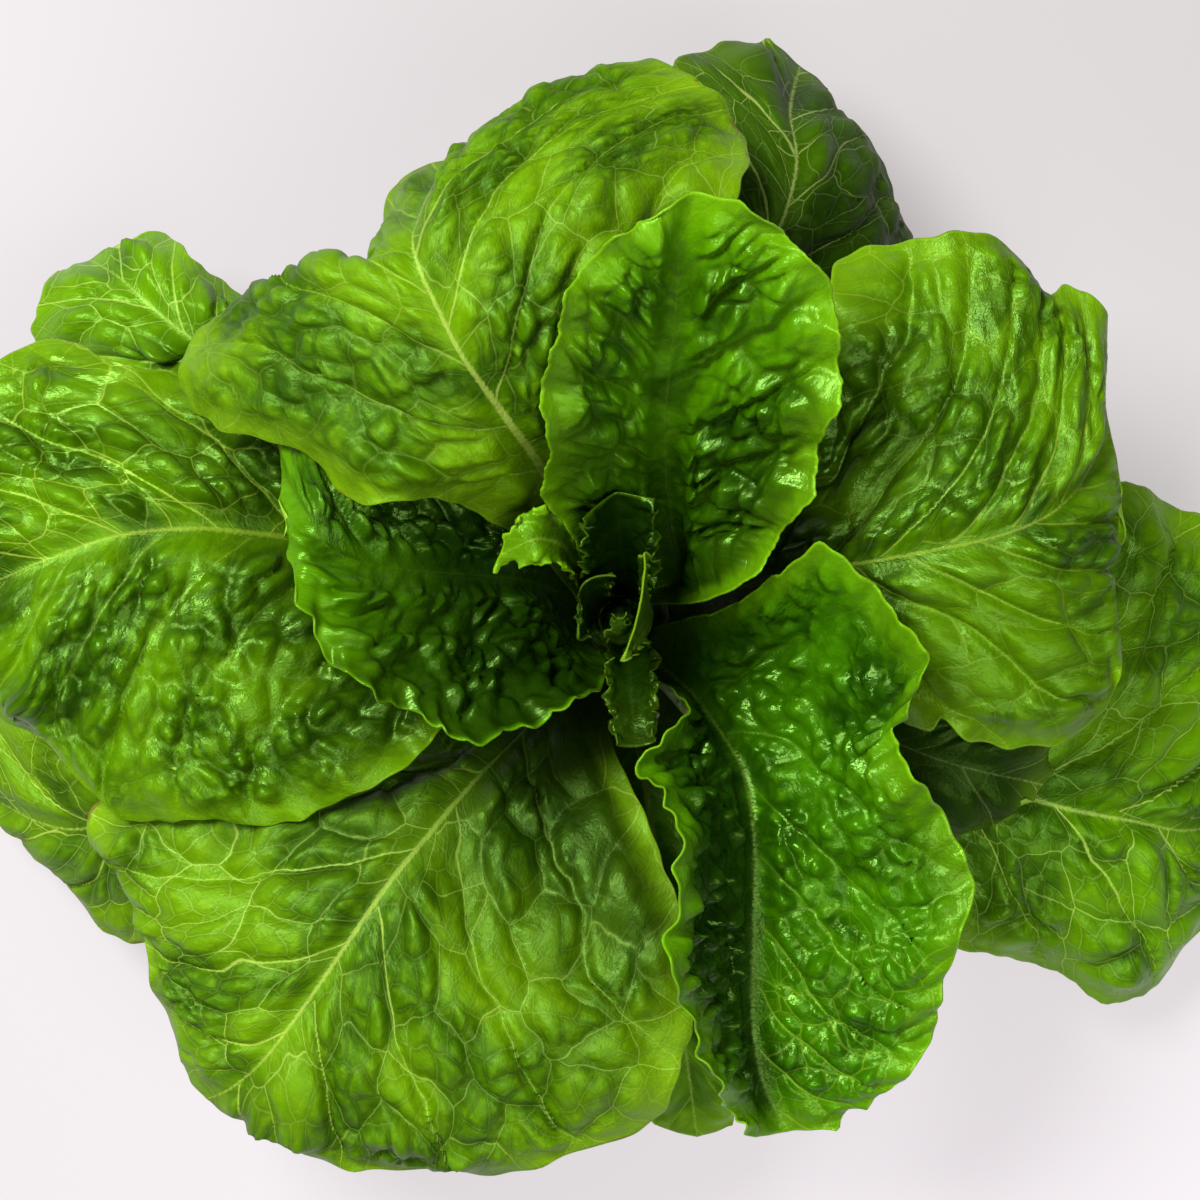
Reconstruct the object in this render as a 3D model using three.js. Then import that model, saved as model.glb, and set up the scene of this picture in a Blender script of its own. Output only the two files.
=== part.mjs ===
// A whole head of romaine lettuce, cut from its root and standing open on the flat end of its stem.
// Millimetres, +Z up, origin at the centre of the cut face. East is +X and north is +Y.
// Each leaf is a thin blade of its own that starts beside the stem. Its stations run from the stem
// to the tip, and each one holds a point on the midrib, one on the left margin and one on the right
// margin, left and right as seen from the stem. The leaves are laid from the lowest to the highest,
// and each is eased upwards where it would meet what is already there.

import * as THREE from "three";

// Stem: [height, radius] up its side.
const STEM_PROFILE = [
  [0, 17],
  [1.5, 18.2],
  [14, 17.4],
  [28, 13.6],
  [40, 10.4],
  [52, 8],
  [64, 6.2],
  [74, 4],
  [78, 1.8],
];
const STEM_TOP = 78.6;
const STEM_SIDES = 28;
const STEM_GAP = 0.5;

// Blade: thickness at the margin, and the midrib that stands out below it at the stem end.
const BLADE_THICKNESS = 0.8;
const RIB_DEPTH = 4.2;
const RIB_HALF_WIDTH = 7;
const RIB_TIP_HALF_WIDTH = 1.4;
const RIB_TAPER_POWER = 1.4;

// Blade relief: how a row curves up to its margin, the puffs between side veins, the veins' forward
// sweep, and the margin's ruffle and teeth. All of it grows in from nothing over the plain share.
const CUP_POWER = 1.5;
const PUFF_HEIGHT = 1.1;
const VEIN_SWEEP = 0.16;
const MARGIN_POWER = 3;
const RIGHT_MARGIN_SHIFT = 2;
const TOOTH_SHARE = 0.02;
const TEETH_PER_WAVE = 2.7;
const PLAIN_SHARE = 0.3;

// Places across a blade, from the right margin to the left one, with some beside the midrib.
const LARGE_ACROSS = [-1, -0.8, -0.55, -0.3, -0.1, 0, 0.1, 0.3, 0.55, 0.8, 1];
const SMALL_ACROSS = [-1, -0.66, -0.33, 0, 0.33, 0.66, 1];
const LARGE_ROWS = 18;
const SMALL_ROWS = 10;

// Laying the leaves: the height field's cell and half width, and the least gap between leaves.
const CELL = 1.2;
const FIELD_HALF_WIDTH = 216;
const LEAF_GAP = 1.6;
const LAYING_PASSES = 4;
const EASING_STEPS = 60;
const EASING_FADE = 0.985;

const COLOURS = {
  outer_leaf: 0x426f0a,
  middle_leaf: 0x4a730a,
  inner_leaf: 0x3c6a0a,
  heart_leaf: 0x274d08,
  stem: 0xdfe6b4,
};

// The large leaves, lowest first. Base: direction and height on the stem, and how far round it
// the base wraps to each side. Margin: height of its ruffle, and how many waves run along it.
const LARGE_LEAVES = [
  {
    name: "leaf_low_west",
    slot: "outer_leaf",
    base: { angle: 202, height: 7, wrap: 34 },
    margin: { ruffle: 2.2, waves: 4 },
    veins: 6,
    stations: [
      [[-34, -14, 26], [-32, -32, 26], [-40, 2, 28]],
      [[-68, -29, 40], [-63, -56, 36], [-76, -6, 40]],
      [[-102, -44, 46], [-95, -72, 36], [-110, -13, 42]],
      [[-129, -52, 43], [-126, -88, 27], [-142, -19, 39]],
      [[-148, -56, 35], [-144, -77, 22], [-168, -22, 30]],
      [[-175, -46, 20], [-165, -57, 18], [-178, -35, 21]],
    ],
  },
  {
    name: "leaf_low_south",
    slot: "inner_leaf",
    base: { angle: 276, height: 9, wrap: 34 },
    margin: { ruffle: 1.8, waves: 4 },
    veins: 6,
    stations: [
      [[6, -38, 28], [22, -38, 28], [-10, -40, 28]],
      [[11, -69, 40], [32, -69, 38], [-10, -69, 36]],
      [[15, -95, 43], [43, -96, 36], [-8, -98, 36]],
      [[18, -117, 38], [41, -124, 30], [0, -124, 30]],
      [[21, -139, 26], [31, -135, 26], [10, -135, 26]],
    ],
  },
  {
    name: "leaf_low_northwest",
    slot: "inner_leaf",
    base: { angle: 140, height: 11, wrap: 34 },
    margin: { ruffle: 2, waves: 4 },
    veins: 6,
    stations: [
      [[-34, 32, 34], [-45, 21, 34], [-26, 47, 34]],
      [[-62, 49, 50], [-76, 39, 46], [-57, 73, 46]],
      [[-88, 62, 58], [-107, 52, 50], [-75, 76, 50]],
      [[-108, 71, 60], [-130, 62, 50], [-96, 83, 50]],
      [[-121, 81, 58], [-155, 74, 44], [-108, 93, 48]],
      [[-131, 90, 52], [-148, 87, 42], [-121, 100, 44]],
      [[-140, 95, 40], [-145, 92, 40], [-133, 98, 40]],
    ],
  },
  {
    name: "leaf_low_north",
    slot: "outer_leaf",
    base: { angle: 71, height: 15, wrap: 36 },
    margin: { ruffle: 1.4, waves: 5 },
    veins: 7,
    stations: [
      [[16, 39, 46], [-5, 47, 44], [37, 36, 48]],
      [[26, 64, 62], [0, 83, 52], [55, 57, 56]],
      [[33, 84, 72], [5, 111, 58], [73, 80, 56]],
      [[42, 103, 76], [11, 132, 58], [79, 98, 46]],
      [[45, 116, 74], [18, 147, 52], [71, 112, 48]],
      [[44, 129, 66], [30, 152, 48], [63, 129, 46]],
      [[48, 146, 44], [39, 152, 46], [55, 140, 44]],
    ],
  },
  {
    name: "leaf_low_east",
    slot: "outer_leaf",
    base: { angle: 344, height: 13, wrap: 36 },
    margin: { ruffle: 1.6, waves: 4 },
    veins: 7,
    stations: [
      [[37, -11, 36], [37, 16, 44], [48, -37, 40]],
      [[68, -29, 50], [73, 26, 51], [68, -61, 46]],
      [[94, -42, 56], [110, 39, 49], [90, -86, 39]],
      [[115, -49, 55], [135, 35, 45], [113, -93, 32]],
      [[135, -53, 48], [154, 26, 38], [140, -103, 22]],
      [[152, -56, 38], [171, 0, 28], [154, -86, 22]],
      [[174, -49, 22], [177, -32, 22], [170, -65, 20]],
    ],
  },
  {
    name: "leaf_low_southeast",
    slot: "middle_leaf",
    base: { angle: 328, height: 23, wrap: 36 },
    margin: { ruffle: 2, waves: 4 },
    veins: 6,
    stations: [
      [[37, -18, 52], [47, 0, 56], [45, -42, 50]],
      [[62, -28, 66], [77, -5, 64], [65, -57, 58]],
      [[82, -36, 70], [103, -16, 66], [82, -60, 56]],
      [[97, -40, 68], [112, -30, 64], [92, -56, 56]],
      [[110, -43, 60], [113, -38, 60], [105, -48, 60]],
    ],
  },
  {
    name: "leaf_east",
    slot: "middle_leaf",
    base: { angle: 14, height: 31, wrap: 40 },
    margin: { ruffle: 2.4, waves: 5 },
    veins: 8,
    stations: [
      [[31, 8, 68], [35, 25, 76], [46, -8, 70]],
      [[45, 12, 86], [45, 45, 93], [63, -20, 84]],
      [[59, 14, 97], [48, 72, 98], [78, -29, 90]],
      [[76, 17, 104], [57, 90, 97], [98, -31, 92]],
      [[94, 21, 105], [82, 96, 96], [116, -30, 90]],
      [[107, 27, 103], [105, 89, 93], [124, -13, 90]],
      [[115, 35, 98], [120, 75, 88], [125, 10, 90]],
      [[123, 48, 90], [117, 65, 87], [125, 30, 89]],
    ],
  },
  {
    name: "leaf_southwest",
    slot: "middle_leaf",
    base: { angle: 233, height: 27, wrap: 40 },
    margin: { ruffle: 2.4, waves: 5 },
    veins: 8,
    stations: [
      [[-20, -23, 56], [-2, -32, 66], [-36, -33, 54]],
      [[-33, -36, 73], [10, -58, 80], [-56, -36, 64]],
      [[-45, -50, 84], [18, -83, 86], [-84, -38, 72]],
      [[-58, -66, 91], [18, -106, 84], [-112, -39, 72]],
      [[-69, -82, 93], [7, -127, 80], [-134, -47, 70]],
      [[-80, -98, 91], [-15, -137, 76], [-130, -65, 70]],
      [[-90, -111, 87], [-53, -141, 74], [-119, -88, 70]],
      [[-98, -118, 82], [-84, -134, 72], [-114, -105, 70]],
      [[-105, -122, 76], [-98, -126, 72], [-110, -115, 71]],
    ],
  },
  {
    name: "leaf_west",
    slot: "middle_leaf",
    base: { angle: 180, height: 35, wrap: 40 },
    margin: { ruffle: 2.4, waves: 5 },
    veins: 8,
    stations: [
      [[-31, 11, 58], [-25, -20, 68], [-36, 31, 62]],
      [[-56, 18, 73], [-45, -28, 84], [-61, 46, 73]],
      [[-83, 21, 85], [-55, -36, 91], [-84, 56, 81]],
      [[-105, 23, 93], [-69, -46, 90], [-106, 61, 86]],
      [[-125, 21, 96], [-96, -51, 87], [-130, 66, 86]],
      [[-143, 15, 96], [-124, -49, 84], [-149, 70, 84]],
      [[-158, 9, 93], [-143, -34, 84], [-166, 55, 82]],
      [[-175, 5, 85], [-167, -13, 82], [-177, 26, 81]],
    ],
  },
  {
    name: "leaf_inner_west",
    slot: "inner_leaf",
    base: { angle: 164, height: 42, wrap: 44 },
    margin: { ruffle: 2.6, waves: 5 },
    veins: 7,
    stations: [
      [[-19, 9, 64], [-3, -13, 78], [-15, 30, 78]],
      [[-30, 11, 81], [-15, -21, 103], [-28, 38, 86]],
      [[-42, 12, 95], [-34, -28, 116], [-43, 45, 92]],
      [[-54, 13, 107], [-53, -20, 124], [-58, 49, 97]],
      [[-66, 16, 117], [-70, -9, 127], [-71, 50, 101]],
      [[-74, 22, 120], [-77, 6, 126], [-80, 49, 102]],
      [[-84, 37, 108], [-82, 26, 114], [-84, 43, 104]],
    ],
  },
  {
    name: "leaf_south",
    slot: "middle_leaf",
    base: { angle: 302, height: 50, wrap: 44 },
    margin: { ruffle: 3, waves: 6 },
    veins: 8,
    stations: [
      [[18, -18, 66], [29, 4, 92], [17, -23, 95]],
      [[26, -29, 80], [51, 17, 119], [5, -36, 110]],
      [[31, -38, 88], [73, -10, 118], [13, -46, 123]],
      [[34, -56, 90], [67, -31, 112], [13, -62, 127]],
      [[34, -79, 89], [85, -57, 106], [12, -82, 123]],
      [[34, -103, 85], [81, -90, 98], [19, -103, 112]],
      [[37, -118, 82], [71, -115, 88], [26, -121, 97]],
      [[43, -130, 79], [54, -128, 81], [35, -130, 83]],
    ],
  },
  {
    name: "leaf_northwest",
    slot: "middle_leaf",
    base: { angle: 119, height: 53, wrap: 44 },
    margin: { ruffle: 2, waves: 5 },
    veins: 9,
    stations: [
      [[-15, 29, 86], [-25, 21, 84], [-7, 30, 92]],
      [[-23, 42, 110], [-47, 30, 110], [-5, 44, 116]],
      [[-31, 53, 126], [-64, 30, 114], [5, 58, 124]],
      [[-38, 63, 135], [-84, 43, 106], [17, 77, 126]],
      [[-44, 75, 139], [-112, 56, 96], [28, 101, 122]],
      [[-48, 84, 139], [-97, 77, 98], [31, 114, 117]],
      [[-50, 93, 136], [-67, 74, 108], [22, 130, 111]],
      [[-48, 102, 128], [-60, 94, 112], [4, 135, 109]],
      [[-42, 115, 110], [-53, 108, 108], [-25, 125, 108]],
    ],
  },
  {
    name: "leaf_inner_north",
    slot: "inner_leaf",
    base: { angle: 74, height: 59, wrap: 46 },
    margin: { ruffle: 2.6, waves: 6 },
    veins: 8,
    stations: [
      [[13, 10, 66], [-5, 11, 70], [26, 7, 99]],
      [[12, 25, 86], [-18, 32, 116], [40, 22, 118]],
      [[11, 44, 109], [-17, 52, 138], [48, 42, 134]],
      [[12, 60, 127], [-17, 65, 148], [52, 59, 144]],
      [[13, 73, 140], [-13, 75, 153], [49, 71, 151]],
      [[14, 86, 151], [-3, 87, 158], [42, 86, 156]],
      [[17, 98, 160], [8, 95, 160], [27, 97, 160]],
    ],
  },
];

// The small crinkled leaves of the heart, which stand up round the axis. Around: the upright line,
// as [x, y], that a leaf's rows bend round. The north-west one bends its light tip outwards.
const HEART_LEAVES = [
  {
    name: "heart_north",
    base: { angle: 84, height: 67, wrap: 44 },
    around: [0, 0],
    stations: [
      [[1, 12, 81], [-8, 9, 84], [9, 9, 83]],
      [[0, 20, 94], [-9, 15, 101], [9, 17, 97]],
      [[-1, 31, 108], [-9, 25, 114], [8, 29, 110]],
    ],
  },
  {
    name: "heart_south",
    base: { angle: 290, height: 66, wrap: 40 },
    around: [0, 0],
    stations: [
      [[2, -12, 79], [9, -9, 81], [-3, -10, 81]],
      [[3, -21, 87], [9, -19, 89], [-3, -20, 88]],
      [[4, -31, 94], [9, -30, 94], [-1, -31, 94]],
    ],
  },
  {
    name: "heart_east",
    base: { angle: 0, height: 69, wrap: 40 },
    around: [-40, 3],
    stations: [
      [[7, 1, 79], [6, 6, 80], [6, -5, 80]],
      [[6, 3, 92], [6, 11, 94], [3, -8, 94]],
      [[4, 4, 105], [6, 17, 105], [0, -10, 102]],
    ],
  },
  {
    name: "heart_west",
    base: { angle: 150, height: 70, wrap: 60 },
    around: [0, 0],
    stations: [
      [[-7, 4, 80], [-7, -3, 82], [-3, 7, 82]],
      [[-8, 5, 89], [-9, -4, 90], [-2, 9, 91]],
      [[-8, 9, 98], [-11, 5, 95], [-2, 11, 96]],
    ],
  },
  {
    name: "heart_northwest",
    slot: "inner_leaf",
    base: { angle: 132, height: 64, wrap: 28 },
    around: [0, 0],
    stations: [
      [[-9, 11, 80], [-10, 8, 79], [-7, 13, 81]],
      [[-15, 19, 97], [-15, 14, 97], [-16, 26, 99]],
      [[-21, 20, 104], [-20, 14, 102], [-22, 28, 104]],
      [[-30, 16, 101], [-31, 13, 100], [-28, 20, 102]],
    ],
  },
  {
    name: "heart_core",
    base: { angle: 270, height: 72, wrap: 40 },
    around: [0, 6],
    stations: [
      [[0, -4, 81], [3, -3, 81], [-3, -4, 81]],
      [[0, -2, 88], [2, -1, 88], [-3, -2, 88]],
      [[0, 1, 92], [1, 1, 92], [-2, 1, 92]],
    ],
  },
];
const HEART_RUFFLE = 0.9;
const HEART_WAVES = 3;
const HEART_VEINS = 3;
const HEART_RIB_SHARE = 0.15;

const radians = THREE.MathUtils.degToRad;

function material(slot) {
  return new THREE.MeshStandardMaterial({
    color: COLOURS[slot],
    roughness: slot === "stem" ? 0.6 : 0.38,
    metalness: 0,
    flatShading: true,
  });
}

function stemRadius(height) {
  const last = STEM_PROFILE.length - 1;
  if (height >= STEM_PROFILE[last][0]) return STEM_PROFILE[last][1];
  const above = STEM_PROFILE.findIndex(([h]) => h > height);
  const [lowHeight, lowRadius] = STEM_PROFILE[above - 1];
  const [highHeight, highRadius] = STEM_PROFILE[above];
  const share = (height - lowHeight) / (highHeight - lowHeight);
  return THREE.MathUtils.lerp(lowRadius, highRadius, share);
}

function polar(radius, degrees, height) {
  const angle = radians(degrees);
  return new THREE.Vector3(radius * Math.cos(angle), radius * Math.sin(angle), height);
}

function stem() {
  const profile = [[0, 0], ...STEM_PROFILE.map(([h, r]) => [r, h]), [0, STEM_TOP]];
  const outline = profile.map(([r, h]) => new THREE.Vector2(r, h));
  const geometry = new THREE.LatheGeometry(outline, STEM_SIDES);
  geometry.rotateX(Math.PI / 2);
  const mesh = new THREE.Mesh(geometry, material("stem"));
  mesh.name = "stem";
  return mesh;
}

// The three curves that a blade is drawn between, from the stem to the tip.
function bladeCurves(leaf) {
  const { angle, height, wrap } = leaf.base;
  const curve = (index, side) => {
    const start = polar(stemRadius(height) + STEM_GAP, angle + side * wrap, height);
    return new THREE.CatmullRomCurve3(
      [start, ...leaf.stations.map((station) => new THREE.Vector3(...station[index]))],
      false,
      "centripetal",
    );
  };
  return { middle: curve(0, 0), left: curve(1, 1), right: curve(2, -1) };
}

// A row of the blade is an arc round an upright line, for most leaves the stem's axis, so that
// the base follows the stem.
function alongArc(from, to, share, [x, y]) {
  const startAngle = Math.atan2(from.y - y, from.x - x);
  let turn = Math.atan2(to.y - y, to.x - x) - startAngle;
  turn -= 2 * Math.PI * Math.round(turn / (2 * Math.PI));
  const angle = startAngle + turn * share;
  const startRadius = Math.hypot(from.x - x, from.y - y);
  const endRadius = Math.hypot(to.x - x, to.y - y);
  const radius = THREE.MathUtils.lerp(startRadius, endRadius, share);
  const height = from.z + (to.z - from.z) * share ** CUP_POWER;
  return new THREE.Vector3(x + radius * Math.cos(angle), y + radius * Math.sin(angle), height);
}

function bladePoint(leaf, curves, along, across) {
  const side = Math.abs(across);
  const grown = Math.min(1, along / PLAIN_SHARE);
  const nearMargin = side ** MARGIN_POWER;
  const turn = 2 * Math.PI * leaf.margin.waves * along + (across > 0 ? 0 : RIGHT_MARGIN_SHIFT);
  const tooth = TOOTH_SHARE * nearMargin * grown * Math.sin(TEETH_PER_WAVE * turn);
  const margin = (across > 0 ? curves.left : curves.right).getPoint(along);
  const point = alongArc(curves.middle.getPoint(along), margin, side + tooth, leaf.around);
  const veinPhase = leaf.veins * (along - VEIN_SWEEP * side);
  const puff = Math.abs(Math.sin(Math.PI * veinPhase)) * Math.sin(Math.PI * side);
  const ruffle = leaf.margin.ruffle * nearMargin * Math.sin(turn);
  point.z += (ruffle + PUFF_HEIGHT * puff) * grown;
  return point;
}

function ribDepth(along, distance) {
  const halfWidth = THREE.MathUtils.lerp(RIB_HALF_WIDTH, RIB_TIP_HALF_WIDTH, Math.sqrt(along));
  return RIB_DEPTH * (1 - along) ** RIB_TAPER_POWER * Math.exp(-((distance / halfWidth) ** 2));
}

// The lower face: each point of the upper face moved square to the blade by its thickness there.
// The base row keeps off the stem, which widens below it.
function lowerFace(upper, ribShare) {
  const rows = upper.length - 1;
  const columns = upper[0].length - 1;
  const middle = columns / 2;
  return upper.map((row, i) =>
    row.map((point, j) => {
      const back = upper[Math.max(0, i - 1)][j];
      const ahead = upper[Math.min(rows, i + 1)][j];
      const right = row[Math.max(0, j - 1)];
      const left = row[Math.min(columns, j + 1)];
      const normal = ahead.clone().sub(back).cross(left.clone().sub(right)).normalize();
      const distance = point.distanceTo(row[middle]);
      const thickness = BLADE_THICKNESS + ribShare * ribDepth(i / rows, distance);
      const moved = point.clone().addScaledVector(normal, -thickness);
      if (i > 0) return moved;
      const height = Math.max(1, point.z - thickness);
      const radius = Math.max(Math.hypot(point.x, point.y), stemRadius(height) + STEM_GAP);
      const angle = Math.atan2(point.y, point.x);
      return new THREE.Vector3(radius * Math.cos(angle), radius * Math.sin(angle), height);
    }),
  );
}

// Both triangles of each cell of a grid, as [row, column] corners.
function gridTriangles(rows, columns) {
  const triangles = [];
  for (let i = 0; i < rows; i++) {
    for (let j = 0; j < columns; j++) {
      triangles.push([[i, j], [i + 1, j], [i + 1, j + 1]]);
      triangles.push([[i, j], [i + 1, j + 1], [i, j + 1]]);
    }
  }
  return triangles;
}

// A field of heights over the table, and one widened by the gap that leaves keep.
class HeightField {
  constructor() {
    this.size = Math.round((2 * FIELD_HALF_WIDTH) / CELL);
    this.heights = new Float64Array(this.size ** 2);
    this.widened = this.heights.slice();
  }

  cellOf(x) {
    return Math.floor((x + FIELD_HALF_WIDTH) / CELL);
  }

  // Calls visit(cell, height) at the triangle's corners and over each cell centre inside it.
  overTriangle(corners, visit) {
    corners.forEach((p) => visit(this.cellOf(p.y) * this.size + this.cellOf(p.x), p.z));
    const [a, b, c] = corners;
    const area = (b.x - a.x) * (c.y - a.y) - (b.y - a.y) * (c.x - a.x);
    if (Math.abs(area) < 1e-6) return;
    const xs = corners.map((p) => this.cellOf(p.x));
    const ys = corners.map((p) => this.cellOf(p.y));
    for (let row = Math.min(...ys); row <= Math.max(...ys); row++) {
      for (let column = Math.min(...xs); column <= Math.max(...xs); column++) {
        const x = (column + 0.5) * CELL - FIELD_HALF_WIDTH;
        const y = (row + 0.5) * CELL - FIELD_HALF_WIDTH;
        const toB = ((x - a.x) * (c.y - a.y) - (y - a.y) * (c.x - a.x)) / area;
        const toC = ((b.x - a.x) * (y - a.y) - (b.y - a.y) * (x - a.x)) / area;
        if (toB < 0 || toC < 0 || toB + toC > 1) continue;
        visit(row * this.size + column, a.z + toB * (b.z - a.z) + toC * (c.z - a.z));
      }
    }
  }

  add(upper, triangles) {
    for (const triangle of triangles) {
      const corners = triangle.map(([i, j]) => upper[i][j]);
      this.overTriangle(corners, (cell, height) => {
        this.heights[cell] = Math.max(this.heights[cell], height);
      });
    }
    this.widen();
  }

  widen() {
    const reach = Math.ceil(LEAF_GAP / CELL);
    this.widened.fill(0);
    for (let row = reach; row < this.size - reach; row++) {
      for (let column = reach; column < this.size - reach; column++) {
        let highest = 0;
        for (let dy = -reach; dy <= reach; dy++) {
          for (let dx = -reach; dx <= reach; dx++) {
            const away = Math.hypot(dx, dy) * CELL;
            const rise = Math.sqrt(Math.max(0, LEAF_GAP ** 2 - away ** 2));
            const near = this.heights[(row + dy) * this.size + column + dx];
            if (away <= LEAF_GAP + CELL / 2) highest = Math.max(highest, near + rise);
          }
        }
        this.widened[row * this.size + column] = highest;
      }
    }
  }
}

// Eases a blade upwards until its lower face clears the field everywhere, as a held sheet would.
function layBlade(upper, field, triangles) {
  for (let pass = 0; pass < LAYING_PASSES; pass++) {
    const lower = lowerFace(upper, 1);
    const needed = upper.map((row) => row.map(() => 0));
    for (const triangle of triangles) {
      let lift = 0;
      field.overTriangle(triangle.map(([i, j]) => lower[i][j]), (cell, height) => {
        lift = Math.max(lift, field.widened[cell] - height);
      });
      for (const [i, j] of triangle) needed[i][j] = Math.max(needed[i][j], lift);
    }
    const lifts = easedLifts(needed);
    upper.forEach((row, i) => row.forEach((point, j) => (point.z += lifts[i][j])));
  }
}

function easedLifts(needed) {
  const rows = needed.length - 1;
  const columns = needed[0].length - 1;
  let lifts = needed.map((row) => row.slice());
  for (let step = 0; step < EASING_STEPS; step++) {
    lifts = lifts.map((row, i) =>
      row.map((lift, j) => {
        const around =
          lifts[Math.max(0, i - 1)][j] +
          lifts[Math.min(rows, i + 1)][j] +
          row[Math.max(0, j - 1)] +
          row[Math.min(columns, j + 1)];
        return Math.max(needed[i][j], (EASING_FADE * around) / 4);
      }),
    );
  }
  return lifts;
}

// A closed solid from the two faces and the rim that joins them.
function bladeGeometry(upper, lower, triangles) {
  const rows = upper.length - 1;
  const columns = upper[0].length - 1;
  const count = (rows + 1) * (columns + 1);
  const index = ([i, j]) => i * (columns + 1) + j;
  const faces = triangles.flatMap((triangle) => {
    const [a, b, c] = triangle.map(index);
    return [a, b, c, a + count, c + count, b + count];
  });
  const border = [];
  for (let j = columns; j > 0; j--) border.push([0, j]);
  for (let i = 0; i < rows; i++) border.push([i, 0]);
  for (let j = 0; j < columns; j++) border.push([rows, j]);
  for (let i = rows; i > 0; i--) border.push([i, columns]);
  border.forEach((corner, k) => {
    const a = index(corner);
    const b = index(border[(k + 1) % border.length]);
    faces.push(a, a + count, b + count, a, b + count, b);
  });
  const positions = [...upper.flat(), ...lower.flat()].flatMap((point) => point.toArray());
  const geometry = new THREE.BufferGeometry();
  geometry.setAttribute("position", new THREE.Float32BufferAttribute(positions, 3));
  geometry.setIndex(faces);
  geometry.computeVertexNormals();
  return geometry;
}

function upperFace(leaf, rows, acrossPlaces) {
  const curves = bladeCurves(leaf);
  return Array.from({ length: rows + 1 }, (_, i) =>
    acrossPlaces.map((across) => bladePoint(leaf, curves, i / rows, across)),
  );
}

function leafMesh(leaf, upper, triangles, ribShare) {
  const lower = lowerFace(upper, ribShare);
  const mesh = new THREE.Mesh(bladeGeometry(upper, lower, triangles), material(leaf.slot));
  mesh.name = leaf.name;
  return mesh;
}

function largeLeaf(sizes, field) {
  const leaf = { ...sizes, around: [0, 0] };
  const upper = upperFace(leaf, LARGE_ROWS, LARGE_ACROSS);
  const triangles = gridTriangles(LARGE_ROWS, LARGE_ACROSS.length - 1);
  layBlade(upper, field, triangles);
  field.add(upper, triangles);
  return leafMesh(leaf, upper, triangles, 1);
}

// The heart leaves stand inside one another, so they need no easing.
function heartLeaf(sizes) {
  const margin = { ruffle: HEART_RUFFLE, waves: HEART_WAVES };
  const leaf = { slot: "heart_leaf", ...sizes, margin, veins: HEART_VEINS };
  const upper = upperFace(leaf, SMALL_ROWS, SMALL_ACROSS);
  const triangles = gridTriangles(SMALL_ROWS, SMALL_ACROSS.length - 1);
  return leafMesh(leaf, upper, triangles, HEART_RIB_SHARE);
}

const field = new HeightField();
const head = new THREE.Group();
head.name = "romaine_head";
head.add(stem());
for (const sizes of LARGE_LEAVES) head.add(largeLeaf(sizes, field));
for (const sizes of HEART_LEAVES) head.add(heartLeaf(sizes));

export default head;
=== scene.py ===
import bpy
import numpy as np
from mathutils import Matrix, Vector
from mathutils.bvhtree import BVHTree
from mathutils.kdtree import KDTree


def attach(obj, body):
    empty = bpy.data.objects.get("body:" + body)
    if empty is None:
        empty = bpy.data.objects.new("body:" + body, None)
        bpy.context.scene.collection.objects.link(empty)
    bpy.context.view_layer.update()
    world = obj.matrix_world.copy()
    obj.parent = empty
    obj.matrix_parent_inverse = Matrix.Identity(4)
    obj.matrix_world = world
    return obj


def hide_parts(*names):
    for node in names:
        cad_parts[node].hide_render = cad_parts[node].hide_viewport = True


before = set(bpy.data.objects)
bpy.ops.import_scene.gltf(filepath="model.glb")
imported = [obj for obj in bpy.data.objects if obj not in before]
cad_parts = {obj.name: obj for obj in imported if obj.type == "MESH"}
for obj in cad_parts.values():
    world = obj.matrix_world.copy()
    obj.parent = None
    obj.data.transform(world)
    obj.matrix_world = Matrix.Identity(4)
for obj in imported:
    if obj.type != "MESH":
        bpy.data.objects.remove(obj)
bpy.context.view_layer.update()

MM = 0.001

# ---------------------------------------------------------------------------------------------
# Stem. The short tapering core that every leaf grows from, of firm pale tissue. It was cut
# square from the root with a knife, so its lower face is flat, ringed and a little browned.
# ---------------------------------------------------------------------------------------------
STEM_HEIGHTS = [0, 1.5, 14, 28, 40, 52, 64, 74, 78]
STEM_RADII = [17, 18.2, 17.4, 13.6, 10.4, 8, 6.2, 4, 1.8]
STEM_TOP = 78.6
STEM_COLUMNS = 96
STEM_ROWS = 90
CUT_ROWS = 12
CUT_DISH = 0.35
CUT_DISH_POWER = 4

# The scars of lost leaves: their depth, how many lie around the stem, how they climb it, and the
# heights below which the side and the scars run out to the sharp edge of the cut.
SCAR_DEPTH = 0.5
SCARS_AROUND = 5
SCAR_TWIST = 0.22
SCAR_PITCH = 0.9
EDGE_HEIGHT = 4
SCAR_START = 6

# Colours of the stem, as shares of red, green and blue light.
TISSUE_TINTS = ((0.66, 0.72, 0.4, 1), (0.8, 0.83, 0.62, 1))
# The upper stem's green is painted dark, as the shade of the hollow round it.
UPPER_STEM_SHADE_TINT = (0.012, 0.03, 0.002, 1)
CUT_TINTS = ((0.72, 0.68, 0.46, 1), (0.42, 0.2, 0.07, 1))
RING_TINT = (0.5, 0.33, 0.16, 1)
RING_TIGHTNESS = 2600.0


def stem_radius(height):
    """The stem's radius at a height, both in millimetres."""
    return np.interp(height, STEM_HEIGHTS, STEM_RADII)


def mesh_object(name, points, faces, material, smooth=True):
    """A mesh at its place from points in millimetres and lists of corner numbers."""
    mesh = bpy.data.meshes.new(name)
    mesh.from_pydata((np.asarray(points) * MM).tolist(), [], faces)
    mesh.materials.append(material)
    mesh.polygons.foreach_set("use_smooth", [smooth] * len(mesh.polygons))
    mesh.update()
    made = bpy.data.objects.new(name, mesh)
    bpy.context.scene.collection.objects.link(made)
    return made


def feed(tree, socket, value):
    """Links an output to this input, or sets the input to a plain value."""
    if isinstance(value, bpy.types.NodeSocket):
        tree.links.new(value, socket)
    else:
        socket.default_value = value


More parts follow.
